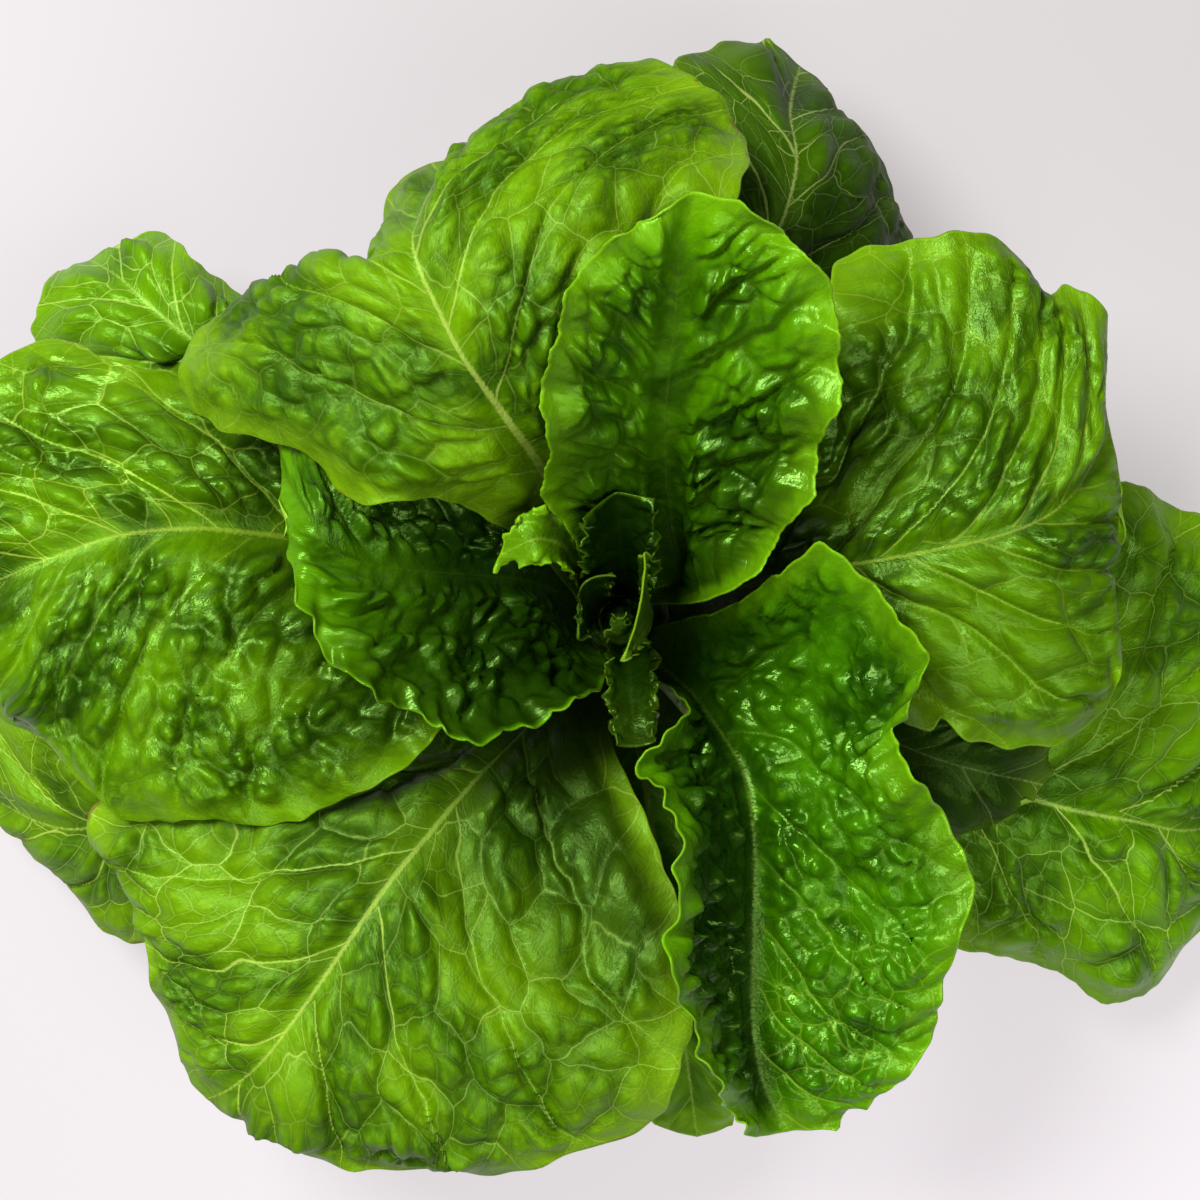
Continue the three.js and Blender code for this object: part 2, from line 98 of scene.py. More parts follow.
def node(tree, kind, inputs=None, **settings):
    """A node with its settings, and its inputs given as values or as outputs to link."""
    made = tree.nodes.new(kind)
    for key, value in settings.items():
        setattr(made, key, value)
    for key, value in (inputs or {}).items():
        feed(tree, made.inputs[key], value)
    return made


def maths(tree, operation, *values, clamp=False):
    """The result of one sum."""
    return node(tree, "ShaderNodeMath", dict(enumerate(values)), operation=operation,
                use_clamp=clamp).outputs[0]


def step(tree, value, low, high, to_low=0.0, to_high=1.0):
    """A smooth rise from to_low to to_high as the value goes from low to high."""
    given = {"Value": value, "From Min": low, "From Max": high, "To Min": to_low, "To Max": to_high}
    return node(tree, "ShaderNodeMapRange", given, interpolation_type="SMOOTHSTEP").outputs[0]


def blend(tree, share, first, second):
    """The colour that lies the given share of the way from the first to the second."""
    return node(tree, "ShaderNodeMix", {0: share, 6: first, 7: second}, data_type="RGBA",
                clamp_factor=True).outputs[2]


def parts(tree, value):
    """The three parts of a vector or a colour."""
    return node(tree, "ShaderNodeSeparateXYZ", {0: value}).outputs


def clouds(tree, place, scale, detail):
    """A cloudy grey pattern from 0 to 1."""
    return node(tree, "ShaderNodeTexNoise", {"Vector": place, "Scale": scale,
                                             "Detail": detail}).outputs["Fac"]


def length_of(tree, vector):
    """The length of a vector, or a place's distance from the middle of its own space."""
    return node(tree, "ShaderNodeVectorMath", {0: vector}, operation="LENGTH").outputs["Value"]


def new_material(name):
    """A new material and its node tree."""
    made = bpy.data.materials.new(name)
    made.use_nodes = True
    return made, made.node_tree


def surface(tree, looks):
    """Gives the material's shader its looks, as values or as outputs to link."""
    for key, value in looks.items():
        feed(tree, tree.nodes["Principled BSDF"].inputs[key], value)


def stem_material():
    """Pale mottled tissue, green where the leaves join and painted dark there as shade, ringed and browned
    where cut.
    """
    made, tree = new_material("stem_tissue")
    place = node(tree, "ShaderNodeTexCoord").outputs["Object"]
    height = maths(tree, "DIVIDE", parts(tree, place)["Z"], MM)
    mottling = clouds(tree, place, 160.0, 4.0)
    pale = blend(tree, mottling, *TISSUE_TINTS)
    # Painted shade: from 10 to 38 mm up, the stem turns the dark green of the hollow's shade.
    side = blend(tree, step(tree, height, 10, 38), pale, UPPER_STEM_SHADE_TINT)
    browned = blend(tree, step(tree, mottling, 0.45, 0.7, 0.15, 0.8), *CUT_TINTS)
    rings = maths(tree, "SINE", maths(tree, "MULTIPLY", length_of(tree, place), RING_TIGHTNESS))
    cut_face = blend(tree, step(tree, rings, 0.2, 1.0, 0.0, 0.5), browned, RING_TINT)
    cut = step(tree, height, 0.4, 1.2, 1.0, 0.0)
    bump = node(tree, "ShaderNodeBump", {"Height": clouds(tree, place, 1400.0, 2.0),
                                         "Strength": 0.25, "Distance": 0.4 * MM})
    surface(tree, {
        "Base Color": blend(tree, cut, side, cut_face),
        "Roughness": step(tree, mottling, 0.3, 0.7, 0.35, 0.6),
        "Normal": bump.outputs["Normal"],
        "Specular Tint": (0.6, 1.0, 0.4, 1),
        "Subsurface Weight": 0.2,
        "Subsurface Radius": (0.004, 0.004, 0.002),
        "Subsurface Scale": 1.0,
    })
    return made


def stem_piece():
    """The core turned about its axis, dished a little on the cut face and scarred up its side."""
    turn = np.linspace(0, 2 * np.pi, STEM_COLUMNS, endpoint=False)
    points = [(0, 0, CUT_DISH)]
    for share in np.linspace(0, 1, CUT_ROWS + 1)[1:]:
        radius = STEM_RADII[0] * share
        height = CUT_DISH * (1 - share**CUT_DISH_POWER)
        points += [(radius * np.cos(t), radius * np.sin(t), height) for t in turn]
    for height in np.linspace(0, STEM_HEIGHTS[-1], STEM_ROWS + 1)[1:]:
        scar = SCAR_DEPTH * np.sin(SCARS_AROUND * turn + SCAR_TWIST * height) * np.sin(SCAR_PITCH * height)
        radius = stem_radius(height) - SCAR_DEPTH * min(1, height / EDGE_HEIGHT)
        radius = radius + scar * min(1, height / SCAR_START)
        points += [(r * np.cos(t), r * np.sin(t), height) for r, t in zip(radius, turn)]
    points.append((0, 0, STEM_TOP))
    rings = CUT_ROWS + STEM_ROWS
    faces = []
    for j in range(STEM_COLUMNS):
        after = (j + 1) % STEM_COLUMNS
        faces.append((0, 1 + after, 1 + j))
        for i in range(rings - 1):
            low, high = 1 + i * STEM_COLUMNS, 1 + (i + 1) * STEM_COLUMNS
            faces.append((low + j, low + after, high + after, high + j))
        last = 1 + (rings - 1) * STEM_COLUMNS
        faces.append((last + j, last + after, len(points) - 1))
    return mesh_object("stem_core", points, faces, stem_material())


stem = stem_piece()
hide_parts("stem")
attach(stem, "root")

# ---------------------------------------------------------------------------------------------
# Large leaves. Thirteen thin, crisp blades grown from the side of the stem, the lowest first and
# outermost. Each has a pale midrib, side veins that sweep forward and a net of fine veins, and
# the tissue between them swells up into pillows. Nothing but the stem holds them.
# ---------------------------------------------------------------------------------------------
STEM_GAP = 0.5
BROAD_GRID = (180, 112)
NARROW_GRID = (130, 80)
BLADE_THICKNESS = 0.8
RIM_THICKNESS = 0.55
RIM_WIDTH = 4
RIM_ROUNDING = 0.3
RIB_DEPTH = 4.2
RIB_HALF_WIDTH = 7
RIB_TIP_HALF_WIDTH = 1.4
RIB_TAPER_POWER = 1.4
CUP_POWER = 1.5
MARGIN_POWER = 3
RIGHT_MARGIN_SHIFT = 2
PLAIN_SHARE = 0.3

# How closely the cut outline, the frill and the notches keep to the margin.
CUT_POWER = 6
FRILL_POWER = 5
NOTCH_POWER = 1.5

# How far a margin's waves wander from an even beat, over how many waves, and the range of their
# chance phases. Chance shifts of the whole pattern are far longer than a leaf.
WANDER_SHARE = 0.35
WANDER_WAVES = 2.3
PHASE_RANGE = 6.28
PATTERN_SHIFT = 900

# How far forward the side veins lean, for each millimetre out from the midrib.
SIDE_VEIN_LEAN = 0.35

# The frame's own coarse solids: their corners across a blade, their puffs and their teeth.
SOLID_ACROSS = np.array([-1, -0.8, -0.55, -0.3, -0.1, 0, 0.1, 0.3, 0.55, 0.8, 1])
SOLID_ROWS = 18
PUFF_HEIGHT = 1.1
VEIN_SWEEP = 0.16
TOOTH_SHARE = 0.02
TEETH_PER_WAVE = 2.7
SAME_CORNER = 0.03
LIFT_SMOOTHING = 6

# The painted shade of the hollow of the head: a funnel that opens upwards round the stem.
HOLLOW_FLOOR = 62
HOLLOW_SLOPE = 0.45
HOLLOW_REACH = (27, 62)
HOLLOW_RISE = (5, 33)

# The clear space looked for on each side of a blade, the part of it that always stays clear, and
# the shares of the rest that the frill and the relief may take up.
MOST_ROOM = 9.0
ROOM_STRIDE = 3
ROOM_SMOOTHING = 5
CLEAR_ABOVE = 0.4
CLEAR_BELOW = 1.4
FRILL_UP = 0.6
FRILL_DOWN = 0.3
RELIEF_UP = 0.8
RELIEF_DOWN = 0.25

ROW_SAMPLES = 400
NORMAL_SMOOTHING = 4
FORWARD_SMOOTHING = 12
LEAST_OUTWARD = 0.05
LEAST_AREA = 1e-3
LEAST_SLOPE = 0.15
TINY = 1e-9

# How the tissue of each kind of leaf swells between its veins. Sizes and heights are in mm.
# Net: how plain the pale vein net shows on the right and the left half. Rim: how strong the painted
# light of its lit rim line and its glowing margin is. Lit_margin: how broad a margin stays out of the
# painted shade where the leaf is painted dark. Frill: the length and height of the waves of its
# margin. Relief: a size for each of the relief names.
RELIEF_NAMES = ("Swell Height", "Puff Height", "Cell Height", "Blister Height", "Crinkle Height",
                "Smooth Share", "Rib Groove", "Plain Margin")
HABITS = {
    "broad": {
        "vein_gap": 30.0, "cell": 15.0, "blister": 7.0, "net": (0.9, 0.7), "rim": 0.25,
        "lit_margin": 9, "frill": [(46, 1.6), (17, 0.5)],
        "relief": (6.0, 1.6, 3.0, 1.4, 0.6, 0.15, 1.4, 13.0),
    },
    "pillowed": {
        "vein_gap": 22.0, "cell": 11.5, "blister": 7.0, "net": (0.5, 0.3), "rim": 0.25,
        "lit_margin": 8, "frill": [(40, 1.8), (15, 0.6)],
        "relief": (8.0, 1.4, 2.4, 2.8, 0.6, 0.3, 1.4, 14.0),
    },
    "ribbed": {
        "vein_gap": 16.0, "cell": 12.0, "blister": 7.0, "net": (0.35, 0.5), "rim": 0.3,
        "lit_margin": 7, "frill": [(40, 1.8), (15, 0.6)],
        "relief": (7.0, 2.2, 1.8, 1.9, 0.5, 0.2, 1.2, 12.0),
    },
    "crinkled": {
        "vein_gap": 17.0, "cell": 10.5, "blister": 6.0, "net": (0.12, 0.12), "rim": 0.5,
        "lit_margin": 6, "frill": [(19, 1.2), (8, 0.7)],
        "relief": (6.0, 0.8, 2.2, 2.5, 1.2, 1.0, 1.8, 13.0),
    },
    "puckered": {
        "vein_gap": 17.0, "cell": 12.0, "blister": 6.5, "net": (0.25, 0.25), "rim": 0.6,
        "lit_margin": 7, "frill": [(40, 0.9), (14, 0.2)],
        "relief": (5.0, 1.2, 2.8, 2.4, 0.8, 0.8, 2.2, 11.0),
    },
    "netted": {
        "vein_gap": 24.0, "cell": 15.0, "blister": 8.0, "net": (1.0, 1.0), "rim": 0.3,
        "lit_margin": 9, "frill": [(50, 1.5), (14, 0.3)],
        "relief": (5.0, 1.2, 1.5, 0.4, 0.3, 0.3, 0.8, 7.0),
    },
    "heart": {
        "vein_gap": 7.0, "cell": 5.0, "blister": 3.0, "net": (0.05, 0.05), "rim": 0.8,
        "lit_margin": 2, "frill": [(3.5, 0.7), (7, 1.0)],
        "relief": (2.0, 0.4, 0.9, 0.8, 1.4, 1.0, 0.3, 1.5),
    },
}

# Each leaf's stations run from the stem to the tip, and hold a point on the midrib, one on the
# left margin and one on the right margin, left and right as seen from the stem.
# Base: the side of the stem that it grows from, how high, and how far it wraps to either side.
# Margin: the height and number of its ruffles. Veins: how many puffs lie along the frame's solid.
# Edge: the length and depth of the waves cut in its outline. Notches: right or left margin as 0
# or 1, the share of its length, half width and depth. Bent: its pattern is laid through space,
# as it folds too far to be laid flat. Around: the upright line that its rows bend round.
# Foot: where along it the painted shade of its foot starts and ends. Shaded: how strong a painted
# shade lies on its right and its left half. Net_from: where along it the net starts to show. Rib: how
# broad the pale line of its midrib is. Pale_back: how pale its lower face is. Own_relief: sizes
# unlike its habit's.
# Fan: how much the side veins spread towards the margin.
LARGE_LEAVES = [
    {
        "name": "leaf_low_west", "slot": "outer_leaf",
        "base": {"angle": 202, "height": 7, "wrap": 34}, "margin": {"ruffle": 2.2, "waves": 4},
        "veins": 6, "habit": "netted", "edge": [(30, 1.0), (8, 0.3)], "foot": (0.0, 0.15),
        "stations": [
            [[-34, -14, 26], [-32, -32, 26], [-40, 2, 28]],
            [[-68, -29, 40], [-63, -56, 36], [-76, -6, 40]],
            [[-102, -44, 46], [-95, -72, 36], [-110, -13, 42]],
            [[-129, -52, 43], [-126, -88, 27], [-142, -19, 39]],
            [[-148, -56, 35], [-144, -77, 22], [-168, -22, 30]],
            [[-175, -46, 20], [-165, -57, 18], [-178, -35, 21]],
        ],
    },
    {
        "name": "leaf_low_south", "slot": "inner_leaf",
        "base": {"angle": 276, "height": 9, "wrap": 34}, "margin": {"ruffle": 1.8, "waves": 4},
        "veins": 6, "habit": "netted", "finish": "painted_light_leaf", "net": (0.2, 0.2),
        "edge": [(30, 0.8)], "foot": (0.0, 0.0), "lit_margin": 2.0,
        "stations": [
            [[6, -38, 28], [22, -38, 28], [-10, -40, 28]],
            [[11, -69, 40], [32, -69, 38], [-10, -69, 36]],
            [[15, -95, 43], [43, -96, 36], [-8, -98, 36]],
            [[18, -117, 38], [41, -124, 30], [0, -124, 30]],
            [[21, -139, 26], [31, -135, 26], [10, -135, 26]],
        ],
    },
    {
        "name": "leaf_low_northwest", "slot": "inner_leaf",
        "base": {"angle": 140, "height": 11, "wrap": 34}, "margin": {"ruffle": 2, "waves": 4},
        "veins": 6, "habit": "pillowed", "finish": "painted_light_leaf", "shaded": (0.2, 0.2),
        "net": (1.0, 1.0), "edge": [(22, 1.0), (6, 0.4)], "foot": (0.0, 0.2),
        "stations": [
            [[-34, 32, 34], [-45, 21, 34], [-26, 47, 34]],
            [[-62, 49, 50], [-76, 39, 46], [-57, 73, 46]],
            [[-88, 62, 58], [-107, 52, 50], [-75, 76, 50]],
            [[-108, 71, 60], [-130, 62, 50], [-96, 83, 50]],
            [[-121, 81, 58], [-155, 74, 44], [-108, 93, 48]],
            [[-131, 90, 52], [-148, 87, 42], [-121, 100, 44]],
            [[-140, 95, 40], [-145, 92, 40], [-133, 98, 40]],
        ],
    },
    {
        "name": "leaf_low_north", "slot": "outer_leaf",
        "base": {"angle": 71, "height": 15, "wrap": 36}, "margin": {"ruffle": 1.4, "waves": 5},
        "veins": 7, "habit": "netted", "net": (0.6, 0.6), "finish": "shade_leaf",
        "edge": [(24, 0.7), (6, 0.3)], "foot": (0.2, 0.7),
        "stations": [
            [[16, 39, 46], [-5, 47, 44], [37, 36, 48]],
            [[26, 64, 62], [0, 83, 52], [55, 57, 56]],
            [[33, 84, 72], [5, 111, 58], [73, 80, 56]],
            [[42, 103, 76], [11, 132, 58], [79, 98, 46]],
            [[45, 116, 74], [18, 147, 52], [71, 112, 48]],
            [[44, 129, 66], [30, 152, 48], [63, 129, 46]],
            [[48, 146, 44], [39, 152, 46], [55, 140, 44]],
        ],
    },
    {
        "name": "leaf_low_east", "slot": "outer_leaf",
        "base": {"angle": 344, "height": 13, "wrap": 36}, "margin": {"ruffle": 1.6, "waves": 4},
        "veins": 7, "habit": "broad", "net": (1.0, 1.0), "finish": "painted_light_leaf",
        "edge": [(26, 0.9), (7, 0.25)], "foot": (0.15, 0.45),
        "stations": [
            [[37, -11, 36], [37, 16, 44], [48, -37, 40]],
            [[68, -29, 50], [73, 26, 51], [68, -61, 46]],
            [[94, -42, 56], [110, 39, 49], [90, -86, 39]],
            [[115, -49, 55], [135, 35, 45], [113, -93, 32]],
            [[135, -53, 48], [154, 26, 38], [140, -103, 22]],
            [[152, -56, 38], [171, 0, 28], [154, -86, 22]],
            [[174, -49, 22], [177, -32, 22], [170, -65, 20]],
        ],
    },
    {
        "name": "leaf_low_southeast", "slot": "middle_leaf",
        "base": {"angle": 328, "height": 23, "wrap": 36}, "margin": {"ruffle": 2, "waves": 4},
        "veins": 6, "habit": "netted", "net": (0.35, 0.35), "rib": 0.5, "shaded": (0.75, 0.75),
        "finish": "shade_leaf", "edge": [(20, 0.8)], "foot": (0.4, 1.3),
        "stations": [
            [[37, -18, 52], [47, 0, 56], [45, -42, 50]],
            [[62, -28, 66], [77, -5, 64], [65, -57, 58]],
            [[82, -36, 70], [103, -16, 66], [82, -60, 56]],
            [[97, -40, 68], [112, -30, 64], [92, -56, 56]],
            [[110, -43, 60], [113, -38, 60], [105, -48, 60]],
        ],
    },
    {
        "name": "leaf_east", "slot": "middle_leaf",
        "base": {"angle": 14, "height": 31, "wrap": 40}, "margin": {"ruffle": 2.4, "waves": 5},
        "veins": 8, "habit": "ribbed", "shaded": (0.25, 0.0), "edge": [(40, 1.2), (9, 0.35)],
        "notches": [(1, 0.86, 3.5, 4.0), (0, 0.5, 3.0, 4.0)], "foot": (0.0, 0.6), "rib": 0.7,
        "stations": [
            [[31, 8, 68], [35, 25, 76], [46, -8, 70]],
            [[45, 12, 86], [45, 45, 93], [63, -20, 84]],
            [[59, 14, 97], [48, 72, 98], [78, -29, 90]],
            [[76, 17, 104], [57, 90, 97], [98, -31, 92]],
            [[94, 21, 105], [82, 96, 96], [116, -30, 90]],
            [[107, 27, 103], [105, 89, 93], [124, -13, 90]],
            [[115, 35, 98], [120, 75, 88], [125, 10, 90]],
            [[123, 48, 90], [117, 65, 87], [125, 30, 89]],
        ],
    },
    {
        "name": "leaf_southwest", "slot": "middle_leaf",
        "base": {"angle": 233, "height": 27, "wrap": 40}, "margin": {"ruffle": 2.4, "waves": 5},
        "veins": 8, "habit": "broad", "finish": "outer_leaf", "fan": 0.8,
        "edge": [(44, 0.9), (11, 0.3)], "foot": (0.15, 0.6),
        "stations": [
            [[-20, -23, 56], [-2, -32, 66], [-36, -33, 54]],
            [[-33, -36, 73], [10, -58, 80], [-56, -36, 64]],
            [[-45, -50, 84], [18, -83, 86], [-84, -38, 72]],
            [[-58, -66, 91], [18, -106, 84], [-112, -39, 72]],
            [[-69, -82, 93], [7, -127, 80], [-134, -47, 70]],
            [[-80, -98, 91], [-15, -137, 76], [-130, -65, 70]],
            [[-90, -111, 87], [-53, -141, 74], [-119, -88, 70]],
            [[-98, -118, 82], [-84, -134, 72], [-114, -105, 70]],
            [[-105, -122, 76], [-98, -126, 72], [-110, -115, 71]],
        ],
    },
    {
        "name": "leaf_west", "slot": "middle_leaf",
        "base": {"angle": 180, "height": 35, "wrap": 40}, "margin": {"ruffle": 2.4, "waves": 5},
        "veins": 8, "habit": "pillowed", "net": (1.1, 0.2), "edge": [(34, 1.3), (9, 0.3)],
        "foot": (0.2, 0.62), "rib": 0.8,
        "notches": [(0, 0.3, 2.5, 4.0), (0, 0.37, 3.0, 3.5), (0, 0.46, 3.0, 3.0)],
        "stations": [
            [[-31, 11, 58], [-25, -20, 68], [-36, 31, 62]],
            [[-56, 18, 73], [-45, -28, 84], [-61, 46, 73]],
            [[-83, 21, 85], [-55, -36, 91], [-84, 56, 81]],
            [[-105, 23, 93], [-69, -46, 90], [-106, 61, 86]],
            [[-125, 21, 96], [-96, -51, 87], [-130, 66, 86]],
            [[-143, 15, 96], [-124, -49, 84], [-149, 70, 84]],
            [[-158, 9, 93], [-143, -34, 84], [-166, 55, 82]],
            [[-175, 5, 85], [-167, -13, 82], [-177, 26, 81]],
        ],
    },
    {
        "name": "leaf_inner_west", "slot": "inner_leaf",
        "base": {"angle": 164, "height": 42, "wrap": 44}, "margin": {"ruffle": 2.6, "waves": 5},
        "veins": 7, "habit": "crinkled", "edge": [(16, 0.8), (5, 0.3)], "foot": (0.3, 0.95),
        "rib": 0.5, "rim": 0.12, "lit_margin": 1.5,
        "stations": [
            [[-19, 9, 64], [-3, -13, 78], [-15, 30, 78]],
            [[-30, 11, 81], [-15, -21, 103], [-28, 38, 86]],
            [[-42, 12, 95], [-34, -28, 116], [-43, 45, 92]],
            [[-54, 13, 107], [-53, -20, 124], [-58, 49, 97]],
            [[-66, 16, 117], [-70, -9, 127], [-71, 50, 101]],
            [[-74, 22, 120], [-77, 6, 126], [-80, 49, 102]],
            [[-84, 37, 108], [-82, 26, 114], [-84, 43, 104]],
        ],
    },
    {
        "name": "leaf_south", "slot": "middle_leaf",
        "base": {"angle": 302, "height": 50, "wrap": 44}, "margin": {"ruffle": 3, "waves": 6},
        "veins": 8, "habit": "crinkled", "bent": True, "finish": "bent_leaf",
        "edge": [(36, 1.2), (9, 0.3)], "foot": (0.05, 0.18), "shaded": (0.8, 0), "net": (0.3, 0.6),
        "net_from": (0.5, 0.75), "rib": 0.2, "pale_back": 0.3,
        "stations": [
            [[18, -18, 66], [29, 4, 92], [17, -23, 95]],
            [[26, -29, 80], [51, 17, 119], [5, -36, 110]],
            [[31, -38, 88], [73, -10, 118], [13, -46, 123]],
            [[34, -56, 90], [67, -31, 112], [13, -62, 127]],
            [[34, -79, 89], [85, -57, 106], [12, -82, 123]],
            [[34, -103, 85], [81, -90, 98], [19, -103, 112]],
            [[37, -118, 82], [71, -115, 88], [26, -121, 97]],
            [[43, -130, 79], [54, -128, 81], [35, -130, 83]],
        ],
    },
    {
        "name": "leaf_northwest", "slot": "middle_leaf",
        "base": {"angle": 119, "height": 53, "wrap": 44}, "margin": {"ruffle": 2, "waves": 5},
        "veins": 9, "habit": "pillowed", "own_relief": {"Cell Height": 2.2, "Blister Height": 1.5},
        "finish": "outer_leaf", "edge": [(38, 1.0), (10, 0.3)], "foot": (0.02, 0.15),
        "stations": [
            [[-15, 29, 86], [-25, 21, 84], [-7, 30, 92]],
            [[-23, 42, 110], [-47, 30, 110], [-5, 44, 116]],
            [[-31, 53, 126], [-64, 30, 114], [5, 58, 124]],
            [[-38, 63, 135], [-84, 43, 106], [17, 77, 126]],
            [[-44, 75, 139], [-112, 56, 96], [28, 101, 122]],
            [[-48, 84, 139], [-97, 77, 98], [31, 114, 117]],
            [[-50, 93, 136], [-67, 74, 108], [22, 130, 111]],
            [[-48, 102, 128], [-60, 94, 112], [4, 135, 109]],
            [[-42, 115, 110], [-53, 108, 108], [-25, 125, 108]],
        ],
    },
    {
        "name": "leaf_inner_north", "slot": "inner_leaf",
        "base": {"angle": 74, "height": 59, "wrap": 46}, "margin": {"ruffle": 2.6, "waves": 6},
        "veins": 8, "habit": "puckered", "edge": [(30, 1.2), (9, 0.35), (3, 0.15)],
        "foot": (0.1, 0.6), "rib": 0.35,
        "stations": [
            [[13, 10, 66], [-5, 11, 70], [26, 7, 99]],
            [[12, 25, 86], [-18, 32, 116], [40, 22, 118]],
            [[11, 44, 109], [-17, 52, 138], [48, 42, 134]],
            [[12, 60, 127], [-17, 65, 148], [52, 59, 144]],
            [[13, 73, 140], [-13, 75, 153], [49, 71, 151]],
            [[14, 86, 151], [-3, 87, 158], [42, 86, 156]],
            [[17, 98, 160], [8, 95, 160], [27, 97, 160]],
        ],
    },
]
LARGE_NAMES = [leaf["name"] for leaf in LARGE_LEAVES]
UPPER_NAMES = LARGE_NAMES[6:]
FIRST_LARGE_SEED = 11


def spline(points, along):
    """Points on a centripetal curve through the given ones, for places from 0 to 1 along it."""
    points = np.asarray(points, float)
    ends = np.vstack([2 * points[0] - points[1], points, 2 * points[-1] - points[-2]])
    spot = np.clip(along, 0, 1) * (len(points) - 1)
    span = np.minimum(spot.astype(int), len(points) - 2)
    t = (spot - span)[:, None]
    before, start, end, after = (ends[span + k] for k in range(4))
    gaps = [np.sqrt(np.linalg.norm(b - a, axis=1))[:, None]
            for a, b in ((before, start), (start, end), (end, after))]
    leaving = (start - before) / gaps[0] - (end - before) / (gaps[0] + gaps[1])
    leaving = leaving * gaps[1] + end - start
    arriving = (after - end) / gaps[2] - (after - start) / (gaps[1] + gaps[2])
    arriving = arriving * gaps[1] + end - start
    return (start + leaving * t + (3 * (end - start) - 2 * leaving - arriving) * t**2
            + (2 * (start - end) + leaving + arriving) * t**3)


def blade_curves(leaf, along):
    """The midrib, the left margin and the right margin at the given places along the leaf."""
    base = leaf["base"]
    reach = stem_radius(base["height"]) + STEM_GAP
    curves = []
    for index, side in enumerate((0, 1, -1)):
        turn = np.radians(base["angle"] + side * base["wrap"])
        root = (reach * np.cos(turn), reach * np.sin(turn), base["height"])
        curves.append(spline([root] + [station[index] for station in leaf["stations"]], along))
    return curves


def blade_points(leaf, along, across, share):
    """The smooth blade: each row is an arc round an upright line, by default the stem's axis."""
    middle, left, right = blade_curves(leaf, along)
    x, y = leaf.get("around", (0, 0))
    points = np.empty((len(along), len(across), 3))
    for j, place in enumerate(across):
        margin = left if place > 0 else right
        start = np.arctan2(middle[:, 1] - y, middle[:, 0] - x)
        turn = np.arctan2(margin[:, 1] - y, margin[:, 0] - x) - start
        turn -= 2 * np.pi * np.round(turn / (2 * np.pi))
        angle = start + turn * share[:, j]
        inner = np.hypot(middle[:, 0] - x, middle[:, 1] - y)
        outer = np.hypot(margin[:, 0] - x, margin[:, 1] - y)
        radius = inner + (outer - inner) * share[:, j]
        points[:, j, 0] = x + radius * np.cos(angle)
        points[:, j, 1] = y + radius * np.sin(angle)
        points[:, j, 2] = middle[:, 2] + (margin[:, 2] - middle[:, 2]) * share[:, j] ** CUP_POWER
    return points


def margin_waves(leaf, along, across):
    """The phase of the margin's ruffle, and how fully the relief has grown in at each row."""
    shift = np.where(across > 0, 0, RIGHT_MARGIN_SHIFT)
    turn = 2 * np.pi * leaf["margin"]["waves"] * along[:, None] + shift[None, :]
    return turn, np.minimum(1, along / PLAIN_SHARE)[:, None]


def solid_corners(leaf):
    """The corners of the frame's own coarse solid of this leaf, before it was eased upwards."""
    along = np.arange(SOLID_ROWS + 1) / SOLID_ROWS
    side = np.abs(SOLID_ACROSS)[None, :]
    turn, grown = margin_waves(leaf, along, SOLID_ACROSS)
    share = side + TOOTH_SHARE * side**MARGIN_POWER * grown * np.sin(TEETH_PER_WAVE * turn)
    points = blade_points(leaf, along, SOLID_ACROSS, share)
    phase = leaf["veins"] * (along[:, None] - VEIN_SWEEP * side)
    puff = np.abs(np.sin(np.pi * phase)) * np.sin(np.pi * side)
    ruffle = leaf["margin"]["ruffle"] * side**MARGIN_POWER * np.sin(turn)
    points[:, :, 2] += (ruffle + PUFF_HEIGHT * puff) * grown
    return along, points


def solid_lift(leaf):
    """How far the frame's solid was eased up off the leaves below, at each of its corners."""
    along, corners = solid_corners(leaf)
    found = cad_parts[leaf["name"]].data.vertices
    tree = KDTree(len(found))
    for index, vertex in enumerate(found):
        tree.insert((vertex.co.x, vertex.co.y, 0), index)
    tree.balance()
    lift = np.zeros(corners.shape[:2])
    for i, j in np.ndindex(lift.shape):
        x, y, z = corners[i, j]
        near = tree.find_range((x * MM, y * MM, 0), SAME_CORNER * MM)
        heights = [found[index].co.z / MM for _, index, _ in near]
        lift[i, j] = max(heights) - z if heights else np.nan
    return along, lift


def between(values, knots, places):
    """Smooth values at the places, from rows of values at uneven knots."""
    slopes = np.gradient(values, knots, axis=0)
    span = np.clip(np.searchsorted(knots, places, side="right") - 1, 0, len(knots) - 2)
    width = (knots[span + 1] - knots[span])[:, None]
    t = (places - knots[span])[:, None] / width
    rise = values[span + 1] - values[span]
    return (values[span] + slopes[span] * width * t
            + (3 * rise - (2 * slopes[span] + slopes[span + 1]) * width) * t**2
            + ((slopes[span] + slopes[span + 1]) * width - 2 * rise) * t**3)


def smoothed(values, steps):
    """A grid of values with its bumps evened out."""
    for _ in range(steps):
        padded = np.pad(values, 1, mode="edge")
        values = (padded[:-2, 1:-1] + padded[2:, 1:-1] + padded[1:-1, :-2] + padded[1:-1, 2:]
                  + 4 * values) / 8
    return values


def even_rows(leaf, rows):
    """Places along the leaf that space its rows evenly over the midrib and both margins."""
    fine = np.linspace(0, 1, ROW_SAMPLES)
    lengths = [np.linalg.norm(np.diff(curve, axis=0), axis=1) for curve in blade_curves(leaf, fine)]
    travelled = np.concatenate([[0], np.cumsum(sum(lengths))])
    return np.interp(np.linspace(0, travelled[-1], rows + 1), travelled, fine)


def run_along(points):
    """The distance travelled along each column of a grid of points, from its first row."""
    steps = np.linalg.norm(np.diff(points, axis=0), axis=-1)
    return np.concatenate([np.zeros((1, points.shape[1])), np.cumsum(steps, axis=0)])


def wander(travelled, waves, rng):
    """An uneven ripple: waves of the given lengths and heights, each with a chance phase."""
    total = np.zeros_like(travelled)
    for length, height in waves:
        slow = np.sin(travelled / (WANDER_WAVES * length) + rng.uniform(0, PHASE_RANGE))
        beat = travelled / length + WANDER_SHARE * slow
        total += height * np.sin(2 * np.pi * beat + rng.uniform(0, PHASE_RANGE))
    return total


